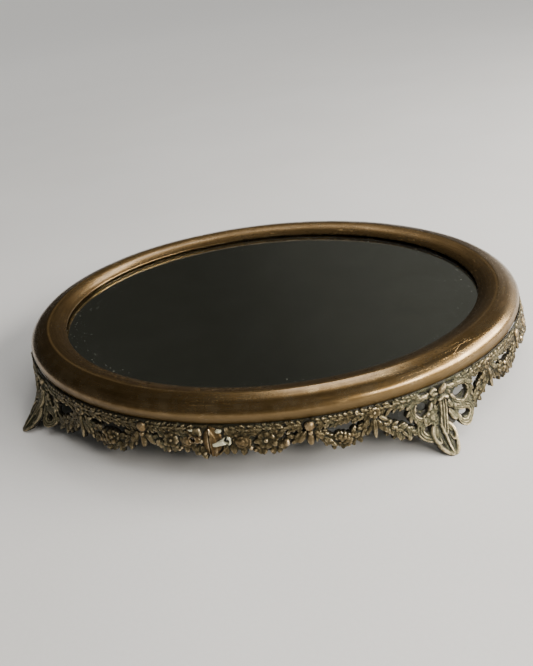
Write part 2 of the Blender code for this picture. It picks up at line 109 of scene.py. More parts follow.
def lean(along, drop, flare):
    """Outward distance of a casting's middle surface from the rim's outer edge."""
    out = BAND_OUT - CAST_THICKNESS / 2 + SLOPE * np.maximum(drop - SLOPE_START, 0.0)
    near = np.maximum(0.0, 1.0 - (np.abs(along) / FLARE_HALF) ** 2)
    fall = np.maximum(drop - FLARE_START, 0.0) / (FOOT_DROP - FLARE_START)
    return out + flare * near * fall ** 2


# ====================================================================== relief of one casting
# A casting has a plain back and a modelled front with nothing undercut, so it is worked out
# flat as a height z over (x, y): x runs along the rim from the foot, positive to the right as
# the tray lies, and y is the drop below the rim. Where the height is under the back there is
# no metal.
STEP = 0.30                  # grid cell
TOP, BOTTOM = -1.9, FOOT_DROP
BACK = -1.25
STEEP = 5.0                  # slope of the sides of every element
FOOT_MIDDLE = 1.6            # the bow and foot are drawn a little right of x = 0


def blur(values, reach):
    """Smooths over about reach cells each way."""
    for _ in range(2):
        for axis in (0, 1):
            pad = [(0, 0), (0, 0)]
            pad[axis] = (reach + 1, reach)
            total = np.cumsum(np.pad(values, pad, mode="edge"), axis=axis)
            high, low = [slice(None)] * 2, [slice(None)] * 2
            high[axis] = slice(2 * reach + 1, None)
            low[axis] = slice(0, -(2 * reach + 1))
            values = (total[tuple(high)] - total[tuple(low)]) / (2 * reach + 1)
    return values


def curve_through(points, count=28):
    """A smooth path through the points (a Catmull-Rom curve)."""
    points = np.array(points, float)
    points = np.vstack([2 * points[0] - points[1], points, 2 * points[-1] - points[-2]])
    out = []
    spans = len(points) - 3
    for k in range(count):
        place = spans * k / (count - 1)
        i = min(int(place), spans - 1)
        part = place - i
        before, start, end, after = points[i:i + 4]
        out.append(0.5 * ((2 * start) + (end - before) * part
                          + (2 * before - 5 * start + 4 * end - after) * part * part
                          + (3 * start - before - 3 * end + after) * part ** 3))
    return np.array(out)


def spread(values, count):
    """A constant or a few stations, spread evenly over count places."""
    stations = max(np.size(values), 2)
    return np.interp(np.linspace(0, 1, count), np.linspace(0, 1, stations),
                     np.broadcast_to(values, stations))


def path_run(path):
    """Length along the path at each of its points."""
    return np.concatenate([[0], np.cumsum(np.hypot(*np.diff(path, axis=0).T))])


def mirrored(side, turn):
    """A direction in degrees drawn for the right half, on the given side (-1 or 1)."""
    return turn if side > 0 else 180 - turn


class Relief:
    """Height field of one casting, and the elements its ornament is drawn with.

    z is the height an element starts from, rise how far it swells above that, turn its
    direction in degrees from +x toward +y, soft the width of its blend with what is there.
    """

    def __init__(self, low, high):
        self.low, self.high = low, high
        self.x = np.arange(low - 2.5 * STEP, high + 3 * STEP, STEP)
        self.y = np.arange(TOP - 2 * STEP, BOTTOM + 3 * STEP, STEP)
        self.height = np.full((len(self.y), len(self.x)), -9.0)
        self.tint = np.zeros_like(self.height)      # 1 where the copper shows
        self.plain = np.zeros_like(self.height)     # 1 on smooth sheet and solder

    def window(self, left, right, top, bottom):
        """The part of the grid inside a box: its slices, and x and y there."""
        i0, i1 = np.searchsorted(self.y, [top, bottom])
        j0, j1 = np.searchsorted(self.x, [left, right])
        y, x = np.meshgrid(self.y[i0:i1], self.x[j0:j1], indexing="ij")
        return (slice(i0, i1), slice(j0, j1)), x, y

    def add(self, cut, height, tint=0.0, plain=0.0, soft=0.12):
        old = self.height[cut]
        cover = np.clip(0.5 + (height - old) / (2 * soft), 0, 1)
        self.height[cut] = old * (1 - cover) + height * cover + soft * cover * (1 - cover)
        self.tint[cut] = self.tint[cut] * (1 - cover) + tint * cover
        self.plain[cut] = self.plain[cut] * (1 - cover) + plain * cover

    def local(self, x, y, reach, turn):
        """The grid round (x, y), with places along and across the direction of turn."""
        cut, grid_x, grid_y = self.window(x - reach, x + reach, y - reach, y + reach)
        cos, sin = math.cos(math.radians(turn)), math.sin(math.radians(turn))
        return (cut, (grid_x - x) * cos + (grid_y - y) * sin,
                -(grid_x - x) * sin + (grid_y - y) * cos)

    def bead(self, x, y, half_x, half_y=None, z=0.2, rise=None, turn=0.0, tint=0.0, plain=0.0,
             dent=0.0):
        """A domed round or oval, with a dent in its middle if asked."""
        half_y = half_x if half_y is None else half_y
        small = min(half_x, half_y)
        rise = small * 0.95 if rise is None else rise
        cut, along, across = self.local(x, y, max(half_x, half_y) + 1.2, turn)
        radius = np.sqrt((along / half_x) ** 2 + (across / half_y) ** 2)
        height = np.where(radius < 1,
                          z + rise * np.sqrt(np.clip(1 - radius * radius, 0, 1)),
                          z - (radius - 1) * small * STEEP)
        if dent:
            height = height - dent * np.exp(-(radius / 0.28) ** 2)
        self.add(cut, height, tint, plain)

    def leaf(self, x, y, length, width, turn, z=0.3, rise=0.9, bow=0.0, tip=0.55, lift=0.0,
             rib=0.26, veins=0.05, tint=0.0, soft=0.10, blunt=0.55):
        """A leaf from its stalk at (x, y). bow bends it sideways, lift raises its point, rib
        and veins are groove depths; smaller tip and blunt fill out the point and the stalk."""
        cut, along, across = self.local(x, y, length + 1.5, turn)
        grow = np.clip(along / length, 0, 1)
        across = across - bow * 4 * grow * (1 - grow)
        peak = blunt / (blunt + tip)
        shape = ((grow + 1e-6) ** blunt * (1 - grow + 1e-6) ** tip
                 / (peak ** blunt * (1 - peak) ** tip))
        half = np.maximum(width / 2 * shape, 0.02)
        edge = half - np.abs(across)
        beyond = np.where(along < 0, along, np.where(along > length, length - along, 0.0))
        edge = np.where(beyond < 0, np.minimum(beyond, -np.abs(across) * 0.6 + beyond), edge)
        offside = np.clip(np.abs(across) / half, 0, 1)
        height = (z + lift * grow
                  + rise * np.sqrt(np.clip(1 - offside ** 2.2, 0, 1)) * (0.55 + 0.45 * shape))
        height = height - rib * np.exp(-(across / 0.26) ** 2) * (1 - grow) ** 0.3
        if veins:
            height = height + (veins * np.cos(2 * math.pi * (along - 1.1 * np.abs(across)) / 1.3)
                               * (offside < 0.92))
        height = np.where(edge > 0,
                          np.minimum(height, z + lift * grow + 0.1 + edge * STEEP * 0.9),
                          z + lift * grow + edge * STEEP)
        self.add(cut, height, tint, 0.0, soft)

    def strap(self, path, half, z, strands=0, depth=0.28, rise=0.5, plain=0.0, soft=0.1,
              rope=0.0):
        """A ribbon or a rope along a path; half width and z may change along it. strands are
        parted by grooves of the given depth, rope is the height of the twist."""
        path = np.array(path, float)
        half, z = spread(half, len(path)), spread(z, len(path))
        reach = half.max() + 1.2
        cut, grid_x, grid_y = self.window(
            path[:, 0].min() - reach, path[:, 0].max() + reach,
            path[:, 1].min() - reach, path[:, 1].max() + reach)
        best = np.full(grid_x.shape, 1e9)
        side, width, base, run = (np.zeros_like(best) for _ in range(4))
        total = 0.0
        for i in range(len(path) - 1):
            delta = path[i + 1] - path[i]
            size = math.hypot(*delta)
            if size < 1e-6:
                continue
            unit = delta / size
            along = (grid_x - path[i, 0]) * unit[0] + (grid_y - path[i, 1]) * unit[1]
            across = -(grid_x - path[i, 0]) * unit[1] + (grid_y - path[i, 1]) * unit[0]
            part = np.clip(along / size, 0, 1)
            dist = np.hypot(along - part * size, across)
            near = dist < best
            best = np.where(near, dist, best)
            side = np.where(near, np.sign(across) * dist, side)
            width = np.where(near, half[i] * (1 - part) + half[i + 1] * part, width)
            base = np.where(near, z[i] * (1 - part) + z[i + 1] * part, base)
            run = np.where(near, total + part * size, run)
            total += size
        width = np.maximum(width, 1e-3)
        height = base + rise * np.sqrt(np.clip(1 - np.clip(best / width, 0, 1) ** 2.4, 0, 1))
        if strands:
            groove = 0.5 + 0.5 * np.cos(math.pi * strands * (side / width + 1))
            height = height - depth * groove ** 2
        if rope:
            height = height + rope * np.cos(2 * math.pi * (run + side * 1.3) / 1.9)
        height = np.where(best < width, height, base - (best - width) * STEEP)
        self.add(cut, height, plain=plain, soft=soft)

    def hole(self, x, y, half_x, half_y=None, turn=0.0, power=2.0):
        """An opening right through; a power over 2 squares its corners."""
        half_y = half_x if half_y is None else half_y
        cut, along, across = self.local(x, y, max(half_x, half_y) + 2.0, turn)
        radius = ((np.abs(along) / half_x) ** power
                  + (np.abs(across) / half_y) ** power) ** (1 / power)
        self.height[cut] = np.minimum(self.height[cut],
                                      BACK + (radius - 1) * min(half_x, half_y) * STEEP)


class Half:
    """Draws on one half of a casting. Its methods take x and y on the flat pattern; they land
    where the marks land on this half, and sizes follow the stretch where it is a long one."""

    def __init__(self, relief, side, marks, deeper, rng):
        self.relief, self.side, self.rng = relief, side, rng
        self.land = (0.0,) + tuple(marks)
        self.deeper = deeper

    def at(self, x):
        """Along the rim from the foot, signed."""
        beyond = max(x - FLAT_MARKS[-1], 0.0)
        return self.side * (float(np.interp(x, FLAT_MARKS, self.land)) + beyond)

    def scale(self, x):
        stretch = abs(self.at(x + 4) - self.at(x - 4)) / 8
        return min(max(stretch, 0.94), 1.3)

    def place(self, x, y):
        more = self.deeper * float(np.interp(x, (18, 44, 84, 128), (0, 1, 0.8, 0)))
        return self.at(x), y * (1 + more)

    def turned(self, turn):
        return mirrored(self.side, turn)

    # ---------------------------------------------------------------- elements
    def bead(self, x, y, half_x, half_y=None, **shape):
        scale = self.scale(x)
        self.relief.bead(*self.place(x, y), half_x * scale,
                         None if half_y is None else half_y * scale, **shape)

    def leaf(self, x, y, length, width, turn, bow=0.0, **shape):
        scale = self.scale(x)
        self.relief.leaf(*self.place(x, y), length * scale, width * scale, self.turned(turn),
                         bow=bow * self.side, **shape)

    def strap(self, path, half, z, **shape):
        self.relief.strap([self.place(x, y) for x, y in path], half, z, **shape)

    def flower(self, x, y, radius, petals, z=0.9, turn=0.0, tint=0.0, rise=0.8):
        """Flat petals round a dented middle."""
        radius = radius * self.scale(x)
        x, y = self.place(x, y)
        for n in range(petals):
            petal_turn = turn + 360.0 * n / petals + self.rng.uniform(-5, 5)
            angle = math.radians(petal_turn)
            self.relief.leaf(
                x + 0.12 * radius * math.cos(angle), y + 0.12 * radius * math.sin(angle),
                radius * 0.93 * self.rng.uniform(0.92, 1.06),
                radius * 1.9 * math.sin(math.pi / petals), petal_turn,
                z=z + self.rng.uniform(-0.1, 0.1), rise=rise, tip=0.32, blunt=0.75,
                rib=0.30, veins=0.0, lift=0.25, tint=tint)
        self.relief.bead(x, y, radius * 0.26, z=z + 0.75, rise=radius * 0.26 * 0.8, tint=tint,
                         dent=0.25)

    def rose(self, x, y, radius, z, turn, tint):
        """Three rings of rounded petals, each ring higher than the one outside it."""
        radius = radius * self.scale(x)
        x, y = self.place(x, y)
        # ring radius, petals, petal size (shares of the rose's radius), height of the ring
        rings = ((0.62, 6, 0.50, 0.0), (0.36, 5, 0.42, 0.7), (0.12, 3, 0.30, 1.25))
        for ring, (out, petals, size, up) in enumerate(rings):
            for i in range(petals):
                angle = math.radians(turn + ring * 31 + 360.0 * i / petals
                                     + self.rng.uniform(-6, 6))
                across = math.degrees(angle) + 90
                self.relief.bead(x + radius * out * math.cos(angle),
                                 y + radius * out * math.sin(angle),
                                 radius * size, radius * size * 0.78, z=z + up, rise=0.85,
                                 turn=across, tint=tint)
                # the curled lip of each petal
                lip = radius * (out + size * 0.52)
                self.relief.bead(x + lip * math.cos(angle), y + lip * math.sin(angle),
                                 radius * size * 0.62, 0.34, z=z + up + 0.45, rise=0.32,
                                 turn=across, tint=tint)

    def garland(self, path, half, length=5.4, width=2.9):
        """Leaves laid like tiles along a path, both sides, over a rounded core."""
        z, pitch = 0.25, 2.5 * 0.82
        rng, relief = self.rng, self.relief
        core = curve_through([self.place(x, y) for x, y in path], 40)
        scale = self.scale(path[len(path) // 2][0])
        relief.strap(core, half * 0.92 * scale, z=-0.45, rise=1.3, soft=0.2)
        run = path_run(core)
        count = max(2, int(run[-1] / (pitch * scale)))
        for i in range(count):
            here = run[-1] * (i + 0.25 + rng.uniform(-0.2, 0.2)) / count
            x, y = np.interp(here, run, core[:, 0]), np.interp(here, run, core[:, 1])
            ahead = min(here + 0.6, run[-1])
            step_x = np.interp(ahead, run, core[:, 0]) - x
            step_y = np.interp(ahead, run, core[:, 1]) - y
            size = math.hypot(step_x, step_y) + 1e-9
            turn = math.degrees(math.atan2(step_y, step_x))
            for side in (-1, 1):
                shift = rng.uniform(-0.4, 0.4)
                relief.leaf(
                    x - step_y / size * side * 0.5 * scale + step_x * shift,
                    y + step_x / size * side * 0.5 * scale + step_y * shift,
                    length * scale * rng.uniform(0.74, 1.16),
                    width * scale * rng.uniform(0.66, 1.0),
                    turn + side * (44 + rng.uniform(-20, 18)), z=z + rng.uniform(-0.3, 0.5),
                    rise=1.0, bow=side * rng.uniform(-0.1, 0.6), lift=rng.uniform(0.1, 0.6),
                    rib=0.4, blunt=0.45)
            if rng.random() < 0.55:
                relief.leaf(x, y, length * scale * 0.8, width * scale * rng.uniform(0.55, 0.8),
                            turn + rng.uniform(-32, 32), z=z + 0.8, rise=0.8, lift=0.3,
                            rib=0.45, blunt=0.4)
            if rng.random() < 0.4:
                shift = rng.uniform(-0.6, 0.6) * half * scale
                relief.bead(x - step_y / size * shift, y + step_x / size * shift,
                            rng.uniform(0.7, 1.15) * scale, z=z + 0.7, rise=0.9,
                            tint=0.5 * rng.random(), dent=0.2)

    def fruit(self, x, y, radius, count, size):
        """A heap of dented berries, laid in a spiral."""
        rng, scale = self.rng, self.scale(x)
        x, y = self.place(x, y)
        for i in range(count):
            angle = 2.4 * i * self.side
            out = radius * scale * math.sqrt((i + 0.4) / count)
            self.relief.bead(x + out * math.cos(angle), y + out * math.sin(angle) * 0.86,
                             size * scale * rng.uniform(0.82, 1.12),
                             z=0.7 + (1 - out / (radius * scale)) * 0.9,
                             tint=0.35 * rng.uniform(0.3, 1.0), dent=0.22)

    # ---------------------------------------------------------------- the ornament, part by part
    def band(self):
        """The band of small leaves along the top, broken at the ball."""
        rng, relief = self.rng, self.relief
        self.strap([(x, 3.0) for x in (0, 22, 44, 84, 142)], half=2.55, z=-0.35, rise=0.5,
                   soft=0.3)
        pitch = 3.3
        out = 12.0
        end = abs(self.at(127.0))
        # turn, width and extra height of the leaves in one tuft
        tuft = ((-44, 2.5, 0.0), (-14, 2.1, 0.45), (20, 2.2, 0.35), (46, 2.5, 0.1))
        while out < end:
            flat = float(np.interp(out, self.land, FLAT_MARKS))
            if not 80.4 < flat < 85.8:
                z = 0.15 + rng.uniform(-0.15, 0.2)
                x = self.side * out
                for turn, width, up in tuft:
                    relief.leaf(x + self.side * rng.uniform(-1.6, 0.6), 2.8 + turn * 0.006,
                                5.6 * rng.uniform(0.82, 1.14), width * rng.uniform(0.85, 1.15),
                                self.turned(turn + rng.uniform(-10, 10)), z=z + up, rise=0.9,
                                lift=0.45, rib=0.4, blunt=0.42, veins=0.04)
                if rng.random() < 0.45:
                    relief.bead(x + self.side * 1.6, 3.2 + rng.uniform(-1.6, 1.4),
                                rng.uniform(0.65, 1.0), z=0.95, rise=0.85, tint=0.5, dent=0.15)
            out += pitch * rng.uniform(0.94, 1.06)

    def swags(self):
        """Two garlands meeting under fruit, and a third running down to the bow."""
        self.garland([(46, 8.6), (50.5, 12.2), (57, 15.6), (62, 17.2)], half=3.5)
        self.garland([(81, 7.6), (76, 11.8), (69, 16.2), (63, 17.4)], half=3.6)
        self.fruit(62.2, 15.0, radius=4.4, count=11, size=1.75)
        self.flower(66.6, 12.8, 2.9, 6, z=0.9, turn=15)
        self.leaf(59.0, 12.9, 5.2, 3.2, 232, z=0.9, rise=0.9)
        self.leaf(64.0, 18.0, 4.6, 3.2, 74, z=0.3, rise=0.9)
        self.leaf(59.4, 17.4, 4.6, 3.2, 112, z=0.3, rise=0.9)
        self.garland([(42, 8.6), (37.6, 12.6), (32, 17.2), (26.4, 21.2), (22, 22.8)], half=3.7,
                     length=5.6, width=3.1)
        self.strap([(23.4, 19.4), (23.0, 22.7), (23.6, 26.2)], half=1.25, z=1.15, strands=2,
                   rise=0.7)
        for x, y, turn in ((35.5, 17.2, 64), (31.0, 20.8, 60), (27.0, 23.2, 70),
                           (50.0, 13.6, 110), (54.0, 16.6, 100), (70.0, 17.6, 84),
                           (74.0, 14.6, 72)):
            self.leaf(x, y, 4.4, 3.0, turn, z=0.1, rise=0.8, lift=0.2)

    def pendant(self):
        """A flower with long leaves hanging from it."""
        self.flower(43.0, 3.2, 3.5, 6, z=1.0, turn=30, tint=0.25)
        self.leaf(43.6, 7.2, 12.8, 3.0, 88, z=1.3, rise=1.1, rib=0.4, veins=0.0, blunt=0.4)
        self.leaf(45.0, 7.6, 9.6, 2.8, 66, z=0.8, rise=1.0, bow=0.5, veins=0.0)
        self.leaf(42.2, 7.6, 9.8, 2.8, 112, z=0.8, rise=1.0, bow=-0.5, veins=0.0)
        self.leaf(46.6, 6.2, 7.0, 3.0, 40, z=0.9, rise=1.0)
        self.leaf(40.6, 6.2, 7.0, 3.0, 140, z=0.9, rise=1.0)

    def ball(self):
        """A copper ball with three broad leaves below it."""
        self.bead(83.6, 3.0, 3.35, z=0.7, rise=3.0, tint=1.0)
        self.leaf(83.6, 6.6, 8.9, 4.4, 88, z=0.7, rise=1.5, tip=0.35, veins=0.0, tint=0.35)
        self.leaf(85.6, 6.4, 8.4, 4.2, 52, z=0.7, rise=1.3, tip=0.4, veins=0.0, tint=0.2)
        self.leaf(81.4, 6.4, 8.4, 4.2, 128, z=0.7, rise=1.3, tip=0.4, veins=0.0, tint=0.2)
        self.bead(83.5, 7.4, 1.5, z=1.8, rise=1.0, tint=0.5)

    def flowers(self):
        """The cluster of flowers between the ball and the butt end."""
        ground = curve_through([(88, 10.2), (96, 11.4), (106, 12.2), (118, 11.2), (130, 10.4),
                                (141, 10.4)], 30)
        self.strap(ground, half=[2.0, 3.4, 5.2, 5.0, 6.0, 8.0], z=-0.6, rise=0.9, soft=0.3)
        self.strap([(102, 7), (122, 7), (141, 7)], half=3.4, z=-0.6, rise=0.8, soft=0.3)
        self.rose(121.5, 10.0, 5.4, z=0.6, turn=10, tint=0.55)
        self.flower(108.2, 9.6, 5.0, 7, z=0.8, turn=20, tint=0.1, rise=0.9)
        self.rose(99.4, 13.2, 3.3, z=0.7, turn=50, tint=0.1)
        self.bead(97.2, 12.2, 2.1, 2.4, z=1.0, rise=1.9, tint=0.45)
        self.bead(103.4, 12.0, 1.9, z=0.9, rise=1.6, tint=0.15)
        # leaves: x, y, length, width, turn, z
        for *leaf, z in (
                (127.0, 11.2, 6.6, 4.4, 96, 0.5), (120.6, 12.2, 6.4, 4.2, 84, 0.6),
                (113.6, 12.0, 6.6, 4.0, 108, 0.4), (109.0, 12.6, 6.4, 4.0, 78, 0.3),
                (104.6, 13.0, 6.0, 4.0, 88, 0.4), (100.4, 14.2, 4.6, 3.4, 70, 0.4),
                (94.4, 13.4, 6.6, 3.4, 205, 0.6), (92.6, 11.2, 6.6, 3.4, 222, 0.6),
                (115.4, 6.6, 6.4, 3.8, 250, 0.5), (127.6, 6.6, 6.8, 3.4, 290, 0.8),
                (131.0, 5.4, 6.0, 3.2, 230, 0.5), (103.0, 8.2, 5.6, 3.4, 200, 0.4),
                (114.8, 10.8, 5.4, 3.4, 200, 0.8), (131.6, 12.4, 6.0, 4.0, 100, 0.3),
                (96.8, 8.6, 4.8, 3.0, 170, 0.3)):
            self.leaf(*leaf, z=z, rise=1.0, tint=0.1)
        for x, y, radius in ((112.6, 14.0, 1.2), (116.8, 14.4, 1.3), (114.6, 16.0, 1.15),
                             (105.6, 16.8, 1.2), (102.4, 9.6, 1.1), (124.6, 5.2, 1.2),
                             (113.4, 4.8, 1.1)):
            self.bead(x, y, radius, z=0.8, rise=radius * 0.9, tint=0.3)

    def cartouche(self, lug):
        """Half cartouche at the butt end, leafy where it is narrow; a lug may be soldered on.
        Returns the place of the joint screw along the rim."""
        relief, side = self.relief, self.side
        end = self.at(FLAT_MARKS[-1])
        if lug or side < 0:
            relief.bead(end + side * 1.0, 9.4, 9.4, 10.4, z=0.1, rise=2.5, plain=0.6)
            relief.strap([(end, 1.6), (end - side * 2.6, 6.6), (end - side * 4.4, 12.0),
                          (end - side * 3.4, 18.4)], half=[1.2, 1.5, 1.2, 0.8], z=2.2,
                         rise=0.6, plain=0.6)
            relief.strap([(end, 19.6), (end - side * 5.6, 18.2), (end - side * 9.4, 14.6)],
                         half=0.8, z=0.6, rise=0.7, plain=0.4)
        else:
            relief.bead(end + side * 1.0, 10.4, 5.6, 9.4, z=0.1, rise=2.2, plain=0.6)
            # leaves: inward from the end, y, length, turn
            for inward, y, length, turn in ((6.0, 16.2, 6.4, 60), (8.4, 13.6, 6.2, 100),
                                            (4.4, 12.8, 5.6, 110), (5.6, 6.6, 6.0, 250),
                                            (9.4, 9.8, 5.4, 190)):
                relief.leaf(end - side * inward, y, length, 3.8, self.turned(turn), z=0.9,
                            rise=1.0)
            for inward, y in ((5.4, 9.6), (7.4, 17.6), (3.6, 17.4)):
                relief.bead(end - side * inward, y, 1.35, z=1.3, rise=1.2, dent=0.2)
        hole = end + side * BUTT - side * JOINT_SCREW
        if lug:
            relief.strap([(hole + side * 7.6, 10.9), (hole + side * 3.4, 9.9),
                          (hole - side * 0.4, 8.6)], half=[1.25, 1.45, 1.7], z=3.0, rise=0.12,
                         plain=1.0)
            relief.strap([(hole - side * 1.4, 6.9), (hole - side * 1.7, 10.2)], half=0.8, z=3.0,
                         rise=0.12, plain=1.0)
            relief.bead(end - side * 6.2, 2.8, 2.1, 1.3, z=1.1, rise=0.9, plain=1.0)
        else:
            relief.strap([(hole + side * 3.2, 8.9), (hole - side * 0.4, 8.5)], half=[2.1, 2.4],
                         z=2.0, rise=0.3, plain=0.7)
            relief.bead(end - side * 11.6, 2.2, 2.3, 1.2, z=1.1, rise=0.8, plain=1.0)
        return hole

    def bow(self):
        """Upper loop, diagonal tail and lower curl of the ribbon, with leaves where they cross.
        Places here are out from the middle of the bow."""
        side, relief, rng = self.side, self.relief, self.rng
        size = 1.0 if side > 0 else 0.92

        def at(x, y):
            return FOOT_MIDDLE + side * x * size, y

        def leaf(x, y, length, width, turn, **shape):
            relief.leaf(*at(x, y), length, width, self.turned(turn + rng.uniform(-4, 4)),
                        **shape)

        def ribbon(points, half, z):
            relief.strap([at(*point) for point in points], half, z, strands=3, rise=0.7,
                         depth=0.6, soft=0.05)

        # the sunken ground between the ribbons
        for path, half in (([(0.0, 4.0), (8.0, 7.0), (20.0, 6.0)], [4.0, 4.6, 3.0]),
                           ([(1.0, 9.0), (9.0, 13.0), (19.0, 15.0)], [3.6, 5.4, 3.4]),
                           ([(1.0, 15.0), (8.0, 18.5), (19.0, 21.5)], [3.6, 4.6, 2.6])):
            relief.strap([at(*point) for point in path], half, z=-0.75, rise=0.4, soft=0.25)
        relief.bead(*at(13.4, 23.2), 6.0, 4.4, z=-0.85, rise=0.2)
        relief.bead(*at(5.0, 22.0), 4.2, 4.0, z=-0.75, rise=0.3)
        loop = curve_through([(2.0, 5.4), (7.0, 4.0), (14.4, 4.3), (21.4, 5.4), (23.2, 9.4),
                              (20.8, 14.6), (16.4, 17.6), (10.2, 14.6), (6.2, 9.4), (2.4, 5.6)],
                             46)
        relief.strap([at(*point) for point in loop], half=1.85,
                     z=[0.6, 0.8, 1.2, 1.5, 1.2, 0.7, 0.6], strands=3, rise=0.7, depth=0.55,
                     soft=0.05)
        # leaves over the loop: x, y, length, width, turn
        for loop_leaf in (
                (16.0, 4.4, 6.6, 2.8, 2), (19.6, 5.0, 7.0, 3.0, 24), (21.6, 7.4, 7.2, 3.0, 50),
                (22.6, 10.0, 6.8, 2.8, 76), (21.6, 12.6, 6.2, 2.8, 104), (18.8, 6.6, 5.0, 2.4, 60),
                (5.0, 3.4, 5.8, 2.7, -10), (9.4, 3.3, 6.0, 2.6, 4), (13.2, 3.5, 5.8, 2.6, -4),
                (12.0, 2.6, 5.0, 2.4, 16), (18.6, 15.6, 5.6, 2.8, 66), (15.4, 16.4, 5.0, 2.5, 96),
                (7.4, 9.0, 5.0, 2.2, 58), (5.0, 11.4, 5.6, 2.4, 72)):
            leaf(*loop_leaf, z=1.0 + rng.uniform(-0.2, 0.5), rise=1.0, rib=0.4, veins=0.0,
                 blunt=0.45, lift=0.3)
        for x, y, radius in ((10.2, 12.6, 1.1), (8.0, 13.8, 1.3), (17.6, 18.0, 1.0),
                             (20.0, 3.2, 1.1)):
            relief.bead(*at(x, y), radius, z=0.8, rise=0.9, tint=0.3, dent=0.2)
        tail = curve_through([(2.6, 12.6), (9.0, 17.2), (16.0, 20.4), (23.4, 23.2)], 22)
        ribbon(tail, half=[1.4, 1.9, 2.1, 1.6], z=[1.2, 1.5, 1.3])
        # the curl goes most of the way round and tightens at its end
        curl = []
        wide, tall = (7.2, 4.9) if side > 0 else (6.2, 4.7)
        for k in range(30):
            angle = math.radians(-148 + 322 * k / 29)
            tight = 1.0 - 0.05 * max(k - 21, 0)
            curl.append((13.6 + wide * tight * math.cos(angle),
                         23.3 + tall * tight * math.sin(angle)))
        ribbon(curl, half=[1.7, 2.3, 2.5, 2.2, 1.4], z=[0.9, 1.3, 1.7, 1.5, 1.1])
        leaf(4.0, 17.0, 8.0, 4.2, 66, z=0.7, rise=1.2)
        leaf(8.0, 19.6, 6.4, 3.6, 80, z=0.4, rise=1.1)
        leaf(12.4, 25.2, 5.6, 3.0, 20, z=0.6, rise=0.9)
        if side < 0:
            # a little flower lies over the loop on this side
            relief.bead(*at(9.6, 17.6), 2.0, z=1.5, rise=1.3, dent=0.3)
            for k in range(6):
                leaf(9.6, 17.6, 3.9, 3.1, 60 * k + 15, z=1.3, rise=0.9, tip=0.3, blunt=0.7,
                     veins=0.0)
            relief.hole(*at(15.0, 9.9), 3.7, 2.4, turn=24, power=2.4)
            relief.hole(*at(14.4, 22.4), 1.1, 0.8)
        else:
            relief.bead(*at(8.6, 16.4), 1.4, z=1.5, rise=1.1)
            relief.hole(*at(15.4, 9.8), 4.3, 2.7, turn=-18, power=2.4)
            relief.hole(*at(14.4, 23.4), 3.0, 1.5, turn=8)


